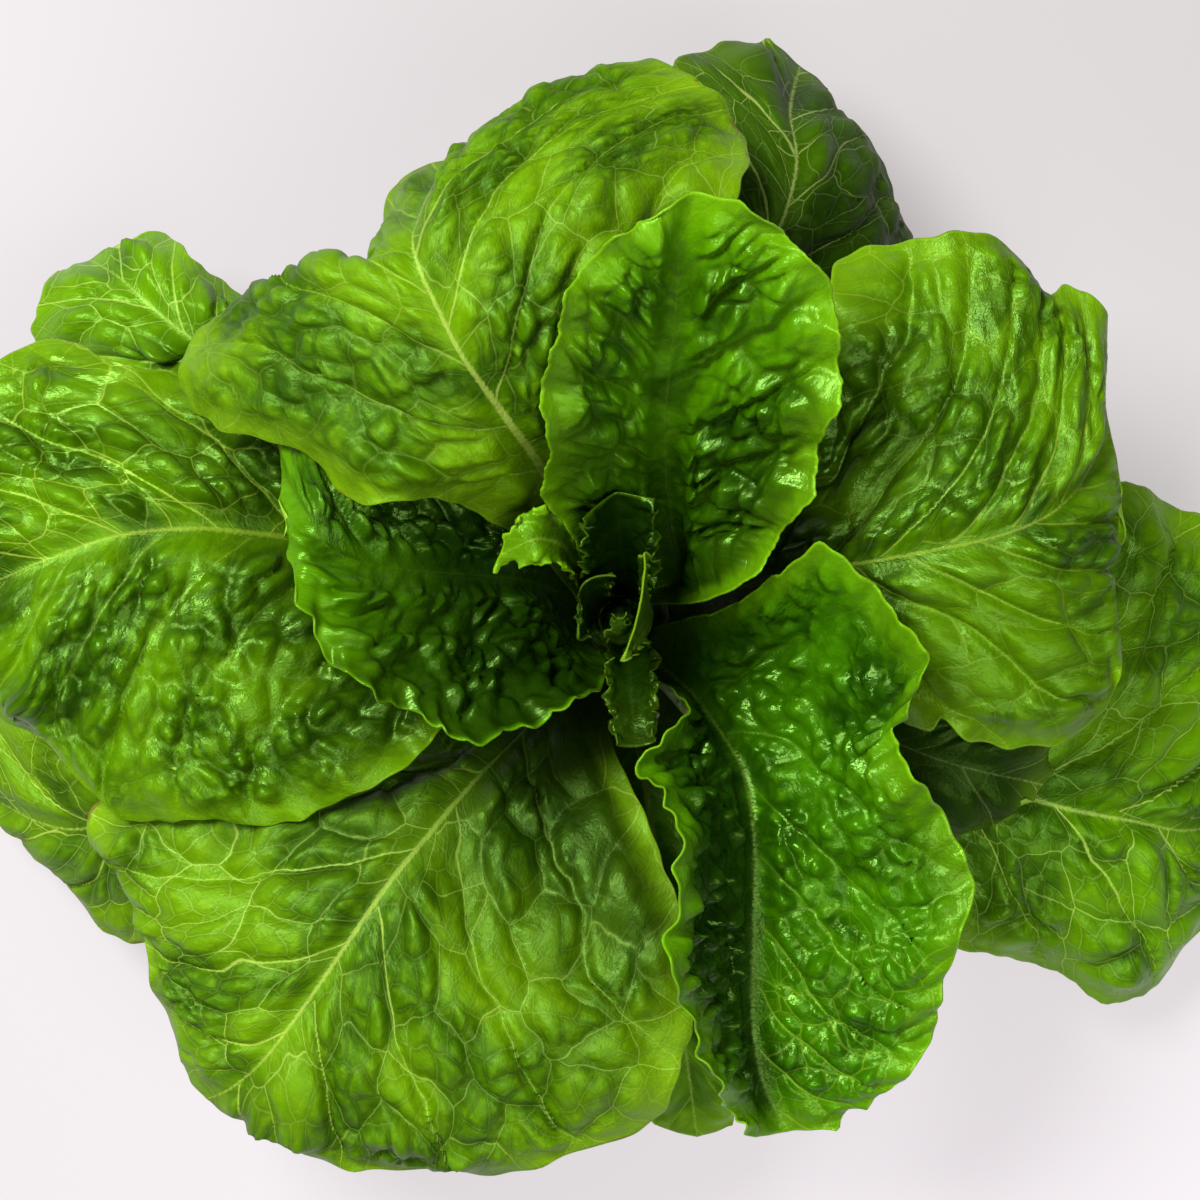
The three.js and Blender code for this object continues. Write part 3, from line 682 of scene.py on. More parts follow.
def notched(leaf, margin, travelled):
    """The depth of the notches torn into one margin."""
    depth = np.zeros_like(travelled)
    for notched_margin, share, half_width, deepest in leaf["notches"]:
        if notched_margin == margin:
            away = (travelled - share * travelled[-1]) / half_width
            depth += deepest * np.exp(-np.abs(away) ** NOTCH_POWER)
    return depth


def blade_grid(leaf, rows, columns, rng):
    """The upper face of a leaf before its relief, and the frill that its margins would take."""
    along = even_rows(leaf, rows)
    across = np.linspace(-1, 1, columns + 1)
    side = np.abs(across)[None, :]
    turn, grown = margin_waves(leaf, along, across)
    share = np.repeat(side, len(along), axis=0)
    plain = blade_points(leaf, along, across, share)
    edges = run_along(plain[:, [0, -1]])
    widths = np.linalg.norm(plain[:, [0, -1]] - plain[:, [columns // 2]], axis=-1) + 1
    cut = np.empty_like(share)
    frill = np.empty_like(share)
    for margin, half in ((0, across < 0), (1, across >= 0)):
        waves = wander(edges[:, margin], leaf["edge"], rng)
        cut[:, half] = ((waves - notched(leaf, margin, edges[:, margin])) / widths[:, margin])[:, None]
        frill[:, half] = wander(edges[:, margin], leaf["frill"], rng)[:, None]
    points = blade_points(leaf, along, across, share + cut * side**CUT_POWER * grown)
    points[:, :, 2] += leaf["margin"]["ruffle"] * side**MARGIN_POWER * np.sin(turn) * grown
    if leaf["name"] in LARGE_NAMES:
        knots, lift = solid_lift(leaf)
        lift = between(lift, knots, along)
        points[:, :, 2] += smoothed(between(lift.T, SOLID_ACROSS, across).T, LIFT_SMOOTHING)
    return along, across, points, frill * side**FRILL_POWER * grown


def grid_normals(points):
    """The direction square to the blade at each point, evened out over its neighbours."""
    normals = np.cross(np.gradient(points, axis=0), np.gradient(points, axis=1))
    normals /= np.linalg.norm(normals, axis=-1)[:, :, None] + TINY
    for axis in range(3):
        normals[:, :, axis] = smoothed(normals[:, :, axis], NORMAL_SMOOTHING)
    return normals / np.linalg.norm(normals, axis=-1)[:, :, None]


def flat_places(points, columns):
    """Where each point lies on the leaf spread out flat: sideways from its midrib, and along it."""
    middle = columns // 2
    rib = points[:, middle]
    length = run_along(points[:, [middle]])
    heading = np.gradient(rib, axis=0)
    heading /= np.linalg.norm(heading, axis=1)[:, None]
    flat = np.zeros(points.shape[:2] + (2,))
    for part in (slice(middle, None), slice(middle, None, -1)):
        row = points[:, part]
        steps = np.linalg.norm(np.diff(row, axis=1), axis=-1)
        away = np.concatenate([np.zeros((len(row), 1)), np.cumsum(steps, axis=1)], axis=1)
        chord = row[:, -1] - row[:, 0]
        chord /= np.linalg.norm(chord, axis=1)[:, None] + TINY
        forward = smoothed(np.sum(chord * heading, axis=1)[:, None], FORWARD_SMOOTHING)
        outward = np.sqrt(np.clip(1 - forward**2, LEAST_OUTWARD, 1))
        sign = 1 if part.step is None else -1
        flat[:, part, 0] = sign * away * outward
        flat[:, part, 1] = length + away * forward
    return flat


def slope_over(points, values):
    """How fast the values change for each millimetre over the blade."""
    by_row, by_column = np.gradient(values)
    ahead, aside = np.gradient(points, axis=0), np.gradient(points, axis=1)
    long, wide = np.sum(ahead**2, axis=-1), np.sum(aside**2, axis=-1)
    lean = np.sum(ahead * aside, axis=-1)
    area = np.maximum(long * wide - lean**2, LEAST_AREA)
    rise = wide * by_row**2 - 2 * lean * by_row * by_column + long * by_column**2
    return np.sqrt(np.maximum(rise, 0) / area)


def closed_blade(upper, lower, rim, border):
    """Corners and faces of a thin solid: its two faces, joined round a rounded rim."""
    rows, columns = upper.shape[0] - 1, upper.shape[1] - 1
    count = (rows + 1) * (columns + 1)
    index = np.arange(count).reshape(rows + 1, columns + 1)
    a, b = index[:-1, :-1].ravel(), index[1:, :-1].ravel()
    c, d = index[1:, 1:].ravel(), index[:-1, 1:].ravel()
    faces = [np.stack([a, b, c, d], 1), np.stack([a, d, c, b], 1) + count]
    ring = 2 * count + np.arange(len(border))
    after, ring_after = np.roll(border, -1), np.roll(ring, -1)
    faces.append(np.stack([border, ring, ring_after, after], 1))
    faces.append(np.stack([ring, border + count, after + count, ring_after], 1))
    points = np.concatenate([upper.reshape(-1, 3), lower.reshape(-1, 3), rim])
    return points, np.concatenate(faces)


def rib_depth(along, away):
    """How far the midrib stands out below the blade, for the distance away from its middle."""
    half_width = RIB_HALF_WIDTH + (RIB_TIP_HALF_WIDTH - RIB_HALF_WIDTH) * np.sqrt(along)
    return RIB_DEPTH * (1 - along) ** RIB_TAPER_POWER * np.exp(-((away / half_width) ** 2))


def rim_places(upper, lower):
    """Points midway between the two faces, set outward beside each margin and the tip."""
    outward = np.zeros_like(upper)
    outward[:, 0] = upper[:, 0] - upper[:, 1]
    outward[:, -1] = upper[:, -1] - upper[:, -2]
    outward[-1, :] += upper[-1, :] - upper[-2, :]
    outward[0, :] = 0
    outward /= np.linalg.norm(outward, axis=-1)[:, :, None] + TINY
    return (upper + lower) / 2 + outward * RIM_ROUNDING


def rooted(row):
    """The base row of the lower face, kept just clear of the stem's side."""
    kept = row.copy()
    for j, (x, y, z) in enumerate(row):
        z = max(1, z)
        away = np.hypot(x, y)
        reach = max(away, stem_radius(z) + STEM_GAP)
        kept[j] = (x * reach / away, y * reach / away, z)
    return kept


def other_solids(name):
    """One search tree over every solid of the frame but this leaf's."""
    corners, faces = [], []
    for other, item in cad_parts.items():
        if other == name:
            continue
        first = len(corners)
        corners += [vertex.co for vertex in item.data.vertices]
        faces += [[first + corner for corner in face.vertices] for face in item.data.polygons]
    return BVHTree.FromPolygons(corners, faces)


def room_above_and_below(name, points, normals):
    """The clear space on each side of the blade, up to the nearest other leaf or the stem."""
    solids = other_solids(name)
    places = points[::ROOM_STRIDE, ::ROOM_STRIDE]
    facing = normals[::ROOM_STRIDE, ::ROOM_STRIDE]
    rows, columns = places.shape[:2]
    rooms = []
    for way in (1, -1):
        found = np.full((rows, columns), MOST_ROOM)
        for i, j in np.ndindex(rows, columns):
            start = Vector(places[i, j]) * MM
            hit = solids.ray_cast(start, Vector(facing[i, j]) * way, MOST_ROOM * MM)
            if hit[0] is not None:
                found[i, j] = hit[3] / MM
        wide = np.pad(found, 1, mode="edge")
        least = np.min([wide[i:i + rows, j:j + columns] for i in range(3) for j in range(3)], axis=0)
        knots = [np.arange(size) * ROOM_STRIDE for size in (rows, columns)]
        full = [np.interp(np.arange(points.shape[1]), knots[1], row) for row in least]
        full = [np.interp(np.arange(points.shape[0]), knots[0], row) for row in np.transpose(full)]
        rooms.append(smoothed(np.transpose(full), ROOM_SMOOTHING))
    return rooms


def ramp(values, low, high):
    """A smooth rise from 0 to 1 as the values go from low to high."""
    share = np.clip((values - low) / (high - low), 0, 1)
    return share * share * (3 - 2 * share)


def painted_shade(leaf, points, along, left, rim_gap):
    """How strong a painted shade each point takes: in the hollow of the head, near its foot, or on a
    shaded half.
    """
    reach = np.hypot(points[:, :, 0], points[:, :, 1])
    rise = points[:, :, 2] - HOLLOW_FLOOR - HOLLOW_SLOPE * reach
    hollow = (1 - ramp(reach, *HOLLOW_REACH)) * (1 - ramp(rise, *HOLLOW_RISE))
    foot = (1 - ramp(along, *leaf["foot"])[:, None]) * ramp(rim_gap, 0, leaf["lit_margin"])
    half = np.where(left, *leaf["shaded"][::-1]) * ramp(rim_gap, 1, 12)
    return np.maximum(np.maximum(hollow, foot), half)


def pattern_grids(leaf, along, upper, flat, rim_gap, rng):
    """What the leaf's pattern reads at each point of its upper face, as named grids of vectors."""
    away, left = np.abs(flat[:, :, 0]), flat[:, :, 0] > 0
    even = np.ones(away.shape)
    fan = leaf["fan"] * away / flat[:, :, 1].max()
    swept = (flat[:, :, 1] - SIDE_VEIN_LEAN * away) / (1 + fan)
    phase = swept / leaf["vein_gap"] + 0.5 * left
    spread = 1 / (slope_over(upper, swept) + LEAST_SLOPE)
    pattern = np.dstack([flat[:, :, 0], (flat[:, :, 1] + swept) / 2, 0 * even])
    if leaf["bent"]:
        pattern = upper
    # The painted shade of each point, kept for the material.
    dark = painted_shade(leaf, upper, along, left, rim_gap)
    net = np.where(left, *leaf["net"][::-1]) * ramp(along, *leaf["net_from"])[:, None]
    return {
        "pattern": pattern + rng.uniform(0, PATTERN_SHIFT, 3) * (1, 1, leaf["bent"]),
        "vein": np.dstack([phase, spread, flat[:, :, 0]]),
        "sizes": np.dstack([size * even for size in (leaf["vein_gap"], leaf["cell"], leaf["blister"])]),
        "place": np.dstack([dark, along[:, None] * even, rim_gap]),
        "finish": np.dstack([net, leaf["rim"] * even, leaf["rib"] * even]),
    }


def leaf_mesh(leaf, rows, columns, seed, rib_share):
    """The closed mesh of one leaf, smooth as yet, with the attributes that its pattern reads."""
    rng = np.random.default_rng(seed)
    along, across, upper, frill = blade_grid(leaf, rows, columns, rng)
    normals = grid_normals(upper)
    above, below = room_above_and_below(leaf["name"], upper, normals)
    frill = np.clip(frill, -FRILL_DOWN * np.maximum(below - CLEAR_BELOW, 0),
                    FRILL_UP * np.maximum(above - CLEAR_ABOVE, 0))
    upper = upper + normals * frill[:, :, None]
    normals = grid_normals(upper)
    flat = flat_places(upper, columns)
    away = np.abs(flat[:, :, 0])
    rim_gap = np.where(across[None, :] < 0, away[:, [0]], away[:, [-1]]) - away
    rim_gap = np.maximum(np.minimum(rim_gap, run_along(upper)[-1][None, :] - run_along(upper)), 0)
    thick = np.interp(rim_gap, [0, RIM_WIDTH], [RIM_THICKNESS, BLADE_THICKNESS])
    thick = thick + rib_share * rib_depth(along[:, None], away)
    lower = upper - normals * thick[:, :, None]
    lower[0] = rooted(lower[0])
    index = np.arange(along.size * across.size).reshape(along.size, across.size)
    border = np.concatenate([index[0, ::-1], index[1:, 0], index[-1, 1:], index[-2:0:-1, -1]])
    rim = rim_places(upper, lower).reshape(-1, 3)[border]
    points, faces = closed_blade(upper, lower, rim, border)
    grids = pattern_grids(leaf, along, upper, flat, rim_gap, rng)
    grids["room"] = np.dstack([above - frill, below + frill, np.zeros(away.shape)])
    grids["blade_normal"] = normals
    made = bpy.data.meshes.new(leaf["name"])
    made.from_pydata((points * MM).tolist(), [], faces.tolist())
    for name, values in grids.items():
        values = values.reshape(-1, 3)
        under = values.copy()
        if name == "room":
            under[:, 2] = leaf["pale_back"]
        full = np.concatenate([values, under, values[border]])
        attribute = made.attributes.new(name, "FLOAT_VECTOR", "POINT")
        attribute.data.foreach_set("vector", full.astype(np.float32).ravel())
    made.polygons.foreach_set("use_smooth", [True] * len(made.polygons))
    made.update()
    return made


def product(tree, *values):
    """The values multiplied together."""
    total = values[0]
    for value in values[1:]:
        total = maths(tree, "MULTIPLY", total, value)
    return total


def all_but(tree, value, share):
    """What is left of 1 once the given share of the value is taken off."""
    return maths(tree, "SUBTRACT", 1.0, product(tree, value, share))


def net_group(kind, dimensions):
    """The pattern of a leaf's veins, alike in its shape and its colour. Distances are in mm."""
    tree = bpy.data.node_groups.new("vein_net", kind)
    for name in ("Pattern", "Vein", "Sizes"):
        tree.interface.new_socket(name, in_out="INPUT", socket_type="NodeSocketVector")
    for name in ("Rib Distance", "Side Vein", "Cell Edge", "Cell Chance", "Blister Edge",
                 "Blister Chance"):
        tree.interface.new_socket(name, in_out="OUTPUT", socket_type="NodeSocketFloat")
    given = tree.nodes.new("NodeGroupInput").outputs
    result = tree.nodes.new("NodeGroupOutput").inputs
    pattern = parts(tree, given["Pattern"])
    phase, spread, across = parts(tree, given["Vein"])
    gap, cell, blister = parts(tree, given["Sizes"])
    drift = node(tree, "ShaderNodeTexNoise", {"Vector": given["Pattern"], "Scale": 0.05, "Detail": 2.0})
    drift = parts(tree, drift.outputs["Color"])
    bend = product(tree, cell, 0.9)
    sideways = product(tree, maths(tree, "SUBTRACT", drift[0], 0.5), bend)
    forward = product(tree, maths(tree, "SUBTRACT", drift[1], 0.5), bend)
    phase = maths(tree, "ADD", phase, maths(tree, "DIVIDE", forward, gap))
    nearest = product(tree, maths(tree, "PINGPONG", phase, 0.5), gap)
    x = maths(tree, "ADD", pattern[0], sideways)
    y = maths(tree, "ADD", pattern[1], forward)
    found = {"Rib Distance": maths(tree, "ABSOLUTE", across),
             "Side Vein": product(tree, nearest, spread)}
    for label, size, stretch in (("Cell", cell, 1.15), ("Blister", blister, 1.0)):
        spot = node(tree, "ShaderNodeCombineXYZ", {
            0: maths(tree, "DIVIDE", x, product(tree, size, stretch)),
            1: maths(tree, "DIVIDE", y, size),
            2: maths(tree, "DIVIDE", pattern[2], size)}).outputs[0]
        edge, chance = (node(tree, "ShaderNodeTexVoronoi",
                             {"Vector": spot, "Scale": 1.0, "Randomness": 0.9}, feature=feature,
                             voronoi_dimensions=dimensions)
                        for feature in ("DISTANCE_TO_EDGE", "F1"))
        found[label + " Edge"] = product(tree, edge.outputs["Distance"], size)
        found[label + " Chance"] = parts(tree, chance.outputs["Color"])[0]
    for socket in result:
        if socket.name in found:
            tree.links.new(found[socket.name], socket)
    return tree


def stored(tree, name):
    """An attribute of the blade, as its relief or its material reads it."""
    if tree.bl_idname == "GeometryNodeTree":
        return node(tree, "GeometryNodeInputNamedAttribute", {"Name": name},
                    data_type="FLOAT_VECTOR").outputs["Attribute"]
    return node(tree, "ShaderNodeAttribute", attribute_name=name).outputs["Vector"]


def blade_values(tree, net):
    """By name, everything about a point that its relief and its colour both go by."""
    group = "GeometryNodeGroup" if tree.bl_idname == "GeometryNodeTree" else "ShaderNodeGroup"
    at = {"pattern": stored(tree, "pattern")}
    sizes = stored(tree, "sizes")
    at["gap"], at["cell"], at["blister"] = parts(tree, sizes)
    at["dark"], at["along"], at["rim gap"] = parts(tree, stored(tree, "place"))
    at["above"], at["below"], at["under"] = parts(tree, stored(tree, "room"))
    veins = node(tree, group, {"Pattern": at["pattern"], "Vein": stored(tree, "vein"), "Sizes": sizes},
                 node_tree=net)
    at.update({socket.name: socket for socket in veins.outputs})
    return at


def pillow(tree, edge, reach):
    """A cushion that rises steeply at a vein and rounds over at the reach."""
    share = maths(tree, "DIVIDE", edge, reach, clamp=True)
    return product(tree, share, maths(tree, "SUBTRACT", 2.0, share))


def wave(tree, at, scale, detail):
    """Cloudy rises and falls about zero."""
    return maths(tree, "SUBTRACT", clouds(tree, at["pattern"], scale, detail), 0.5)


def raised_tissue(tree, at, given, off_margin, off_base):
    """Long puffs between the side veins, a dome in each cell and blisters in some zones."""
    off_rib = step(tree, at["Rib Distance"], 1.0, 8.0)
    off_side = step(tree, at["Side Vein"], 0.0, 1.5)
    puff = pillow(tree, at["Side Vein"], product(tree, at["gap"], 0.36))
    puff = product(tree, puff, given["Puff Height"])

    # A few cells are sunken, and they are pebbled.
    dome = pillow(tree, at["Cell Edge"], product(tree, at["cell"], 0.42))
    rise = step(tree, at["Cell Chance"], 0.06, 0.16, -0.35, 0.55)
    rise = maths(tree, "ADD", rise, product(tree, at["Cell Chance"], 0.6))
    dome = product(tree, dome, rise, given["Cell Height"], off_side)
    pebbled = step(tree, at["Cell Chance"], 0.07, 0.1, 2.6, 0.4)
    pebbles = product(tree, wave(tree, at, 0.4, 0.0), pebbled)

    zone = step(tree, clouds(tree, at["pattern"], 0.03, 1.0), 0.4, 0.6, 1.3, given["Smooth Share"])
    bump = pillow(tree, at["Blister Edge"], product(tree, at["blister"], 0.45))
    rise = step(tree, at["Blister Chance"], 0.05, 0.9, 0.15, 1.3)
    bump = product(tree, bump, rise, zone, given["Blister Height"], off_side)
    total = maths(tree, "ADD", maths(tree, "ADD", puff, dome), maths(tree, "ADD", bump, pebbles))
    return product(tree, total, product(tree, off_rib, off_margin, off_base))


def relief_height(tree, at, given):
    """How far a point stands off the smooth blade, within the clear space on either side."""
    off_margin = step(tree, at["rim gap"], 0.0, given["Plain Margin"])
    off_base = step(tree, at["along"], 0.04, 0.2)
    relief = raised_tissue(tree, at, given, off_margin, off_base)
    calmed = step(tree, at["rim gap"], 0.0, given["Plain Margin"], 0.35, 1.0)
    for label, scale, share in (("Swell Height", 0.028, 1.0), ("Crinkle Height", 0.14, calmed)):
        swing = product(tree, wave(tree, at, scale, 1.0), given[label])
        relief = maths(tree, "ADD", relief, product(tree, swing, share, off_base))
    groove = step(tree, at["Rib Distance"], 0.0, 6.0, -1.0, 0.0)
    relief = maths(tree, "ADD", relief, product(tree, groove, given["Rib Groove"], off_base))
    for limit, side, kept, share in (("MINIMUM", "above", CLEAR_ABOVE, RELIEF_UP),
                                     ("MAXIMUM", "below", CLEAR_BELOW, -RELIEF_DOWN)):
        room = maths(tree, "MAXIMUM", maths(tree, "SUBTRACT", at[side], kept), 0.0)
        relief = maths(tree, limit, relief, product(tree, room, share))
    back_vein = step(tree, at["Side Vein"], 0.3, 1.2, 0.5, 0.0)
    return maths(tree, "SUBTRACT", relief, product(tree, back_vein, at["under"], off_margin))


def relief_tree(net):
    """Moves each point of a blade square to it by its relief, and gives the blade its material."""
    tree = bpy.data.node_groups.new("leaf_relief", "GeometryNodeTree")
    face = tree.interface
    face.new_socket("Geometry", in_out="INPUT", socket_type="NodeSocketGeometry")
    for name in RELIEF_NAMES:
        face.new_socket(name, in_out="INPUT", socket_type="NodeSocketFloat")
    face.new_socket("Material", in_out="INPUT", socket_type="NodeSocketMaterial")
    face.new_socket("Geometry", in_out="OUTPUT", socket_type="NodeSocketGeometry")
    given = tree.nodes.new("NodeGroupInput").outputs
    result = tree.nodes.new("NodeGroupOutput").inputs
    height = relief_height(tree, blade_values(tree, net), given)
    shift = node(tree, "ShaderNodeVectorMath", {0: stored(tree, "blade_normal"),
                                                "Scale": product(tree, height, MM)}, operation="SCALE")
    moved = node(tree, "GeometryNodeSetPosition", {0: given["Geometry"], "Offset": shift.outputs[0]})
    real = node(tree, "GeometryNodeRealizeInstances", {0: moved.outputs[0]})
    dressed = node(tree, "GeometryNodeSetMaterial", {0: real.outputs[0], "Material": given["Material"]})
    tree.links.new(dressed.outputs[0], result[0])
    return tree


def tint(red, green, blue):
    """A colour from its everyday 0 to 255 values."""
    shares = [value / 255 for value in (red, green, blue)]
    return tuple(s / 12.92 if s <= 0.04045 else ((s + 0.055) / 1.055) ** 2.4 for s in shares) + (1,)


# The colour of the painted shade in the hollow of the head.
HOLLOW_SHADE_TINT = tint(8, 26, 0)
BROWN_TINT = tint(94, 74, 28)


def tissue_colour(tree, at, fold_shade, dark, green, light, margin):
    """Dark and light zones, painted shade in the valleys between cells and blisters, a margin lit by
    painted light.
    """
    colour = blend(tree, at["zone"], dark, green)
    colour = blend(tree, step(tree, at["fine"], 0.45, 0.75, 0.0, 0.3), colour, light)
    outer = step(tree, at["rim gap"], 2.0, 18.0, 1.0, 0.0)
    colour = blend(tree, product(tree, outer, 0.25), colour, light)
    # Painted shade: the valleys between cells and between blisters darken towards the colour of the folds.
    valley_shade = step(tree, maths(tree, "DIVIDE", at["Cell Edge"], at["cell"]), 0.02, 0.2, 0.72, 0.0)
    small_valley_shade = step(tree, maths(tree, "DIVIDE", at["Blister Edge"], at["blister"]),
                        0.02, 0.24, 0.62, 0.0)
    valley_shade = product(tree, maths(tree, "MAXIMUM", valley_shade, small_valley_shade),
                     step(tree, at["zone"], 0.0, 1.0, 1.0, 0.3), all_but(tree, outer, 0.5))
    colour = blend(tree, valley_shade, colour, fold_shade)
    # Painted light: a paler margin, partly its own colour and partly painted as light shining through the
    # thin tissue.
    painted_glow = product(tree, step(tree, at["rim gap"], 1.0, 12.0, 0.45, 0.0), at["rim"])
    return blend(tree, painted_glow, colour, margin)


def vein_lines(tree, at):
    """How far each point takes the colour of a vein: the midrib, the side veins and both nets."""
    ragged = wave(tree, at, 1.1, 2.0)
    seen = step(tree, at["zone"], 0.0, 1.0, 0.45, 1.0)
    rib_half = product(tree, step(tree, at["along"], 0.1, 1.0, 1.0, 0.12), at["rib"])
    rib = maths(tree, "SUBTRACT", at["Rib Distance"], rib_half)
    rib = step(tree, maths(tree, "ADD", rib, product(tree, ragged, 1.2)), -0.4, 0.4, 0.5, 0.0)
    side_half = step(tree, at["Rib Distance"], 0.0, 45.0, 0.22, 0.04)
    side = maths(tree, "SUBTRACT", at["Side Vein"], side_half)
    side = maths(tree, "ADD", side, product(tree, ragged, 0.35))
    side = step(tree, side, -0.12, 0.14, 0.6, 0.0)
    side = product(tree, side, maths(tree, "ADD", at["net"], 0.15, clamp=True))
    cells = product(tree, step(tree, at["Cell Edge"], 0.03, 0.24, 0.6, 0.0), at["net"], seen)
    lines = product(tree, step(tree, at["Blister Edge"], 0.03, 0.22, 0.25, 0.0), at["net"], seen)
    for line in (cells, side, rib):
        lines = maths(tree, "MAXIMUM", lines, line)
    return lines


def leaf_gloss(tree, at, roughness, wetness):
    """Waxy, smoother in wet patches and duller on the back."""
    rough = step(tree, at["fine"], 0.3, 0.7, roughness - 0.04, roughness + 0.06)
    wet = step(tree, clouds(tree, at["pattern"], 0.07, 2.0), 0.45, 0.62, 0.0, wetness)
    rough = maths(tree, "SUBTRACT", rough, wet)
    return maths(tree, "ADD", rough, product(tree, at["under"], 0.15))


def leaf_grain(tree, at, dimensions):
    """The fine grain of the skin, dimpled over a net too small to be modelled."""
    tiny = node(tree, "ShaderNodeTexVoronoi", {"Vector": at["pattern"], "Scale": 0.36},
                voronoi_dimensions=dimensions)
    height = maths(tree, "SUBTRACT", product(tree, clouds(tree, at["pattern"], 1.2, 3.0), 0.28),
                   product(tree, tiny.outputs["Distance"], 0.16))
    bump = node(tree, "ShaderNodeBump", {"Height": height, "Strength": 0.7, "Distance": MM})
    return bump.outputs["Normal"]


def leaf_material(name, dimensions, shades, roughness, wetness, gloss, browning=0.0):
    """Leaf tissue with its veins, painted shade in the hollow and in sunken cells, a painted lit rim and a
    pale back.
    """
    *tissue, vein, back = (tint(*shade) for shade in shades)
    fold_shade, margin = tissue[0], tissue[-1]
    made, tree = new_material(name)
    at = blade_values(tree, COLOUR_NETS[dimensions])
    at["net"], at["rim"], at["rib"] = parts(tree, stored(tree, "finish"))
    at["zone"] = step(tree, clouds(tree, at["pattern"], 0.03, 2.0), 0.35, 0.65)
    at["fine"] = clouds(tree, at["pattern"], 0.35, 3.0)
    colour = tissue_colour(tree, at, *tissue)
    # Painted shade: the hollow, the foot and the shaded halves darken towards the hollow's shade colour,
    # and dim the veins and the lit rim.
    shaded = product(tree, at["dark"], all_but(tree, at["under"], 0.5))
    lit = all_but(tree, shaded, 0.85)
    colour = blend(tree, product(tree, shaded, 0.92), colour, HOLLOW_SHADE_TINT)
    # Painted shade: sunken cells away from the margin darken towards the colour of the folds.
    sunken = product(tree, step(tree, at["Cell Chance"], 0.07, 0.1, 1.0, 0.0),
                     step(tree, at["Cell Edge"], 0.0, 3.0), step(tree, at["rim gap"], 8.0, 24.0))
    colour = blend(tree, product(tree, sunken, 0.7), colour, fold_shade)
    colour = blend(tree, product(tree, vein_lines(tree, at), lit), colour, vein)
    # Painted light: a thin lit line along the rim, dimmed where painted shade lies.
    painted_rim_light = product(tree, step(tree, at["rim gap"], 0.1, 0.8, 0.8, 0.0), at["rim"], lit)
    colour = blend(tree, painted_rim_light, colour, margin)
    nicks = step(tree, clouds(tree, at["pattern"], 0.06, 2.0), 0.6, 0.66, 0.0, browning)
    nicks = product(tree, nicks, step(tree, at["rim gap"], 0.3, 1.2, 1.0, 0.0))
    colour = blend(tree, nicks, colour, BROWN_TINT)
    surface(tree, {
        "Base Color": blend(tree, product(tree, at["under"], 0.7), colour, back),
        "Roughness": leaf_gloss(tree, at, roughness, wetness),
        "Normal": leaf_grain(tree, at, dimensions),
        "Specular Tint": (0.5, 1.0, 0.18, 1),
        "Specular IOR Level": gloss,
    })
    return made


# The vein net in two kinds: laid out on the flat leaf, or for a bent leaf through its space.
COLOUR_NETS = {kind: net_group("ShaderNodeTree", kind) for kind in ("2D", "3D")}
RELIEFS = {bent: relief_tree(net_group("GeometryNodeTree", "3D" if bent else "2D"))
           for bent in (False, True)}

# Shades of each kind of leaf: its deepest folds, used as painted shade in valleys and sunken cells,
# dark zones, light zones, highest tissue, margin, veins and back.
MIDDLE_SHADES = ((12, 36, 0), (44, 78, 0), (71, 109, 0), (100, 143, 4), (118, 158, 10), (132, 150, 48),
                 (130, 162, 50))
BENT_SHADES = ((8, 34, 0), (26, 62, 0), (46, 94, 0), (76, 130, 2), (108, 156, 8), (116, 142, 36),
               (130, 162, 50))
INNER_SHADES = ((10, 34, 0), (36, 72, 0), (58, 104, 0), (86, 136, 2), (104, 150, 10), (66, 92, 10),
                (140, 172, 50))
OUTER_SHADES = ((20, 46, 0), (52, 87, 0), (82, 119, 0), (112, 152, 12), (124, 156, 16), (154, 172, 74),
                (132, 162, 60))
# Painted light: a lighter copy of the outer shades, for low leaves that the lamps leave too dark.
PAINTED_LIGHT_SHADES = ((28, 62, 0), (58, 98, 0), (84, 130, 0), (110, 156, 8), (132, 172, 22), (156, 180, 80),
                (132, 162, 60))
# Painted shade: a darker copy of the shades, for low leaves that lie under others.
SHADE_SHADES = ((14, 34, 0), (26, 48, 0), (44, 74, 0), (60, 92, 2), (104, 134, 30), (154, 168, 90),
                (110, 138, 50))
# Painted shade: the hearts' shades are dark, as the shade of the hollow they stand in.
HEART_PAINTED_SHADES = ((2, 10, 0), (6, 20, 0), (16, 38, 0), (38, 70, 2), (112, 146, 14), (46, 72, 12),
                (90, 128, 30))

# Finishes: the material's name, the kind of net, its shades, roughness, how much smoother its wet
# patches are, gloss, and how brown the nicks in its margin are.
LEAF_FINISHES = {
    "outer_leaf": leaf_material("outer_blade", "2D", OUTER_SHADES, 0.46, 0.05, 0.36, 0.8),
    "shade_leaf": leaf_material("shade_blade", "2D", SHADE_SHADES, 0.45, 0.04, 0.2, 0.25),
    "painted_light_leaf": leaf_material("painted_light_blade", "2D", PAINTED_LIGHT_SHADES, 0.4, 0.1, 0.36, 0.4),
    "middle_leaf": leaf_material("middle_blade", "2D", MIDDLE_SHADES, 0.38, 0.1, 0.4),
    "bent_leaf": leaf_material("bent_blade", "3D", BENT_SHADES, 0.32, 0.12, 0.36),
    "inner_leaf": leaf_material("inner_blade", "2D", INNER_SHADES, 0.34, 0.12, 0.36),
    "heart_leaf": leaf_material("heart_shaded_blade", "3D", HEART_PAINTED_SHADES, 0.34, 0.12, 0.3),
}


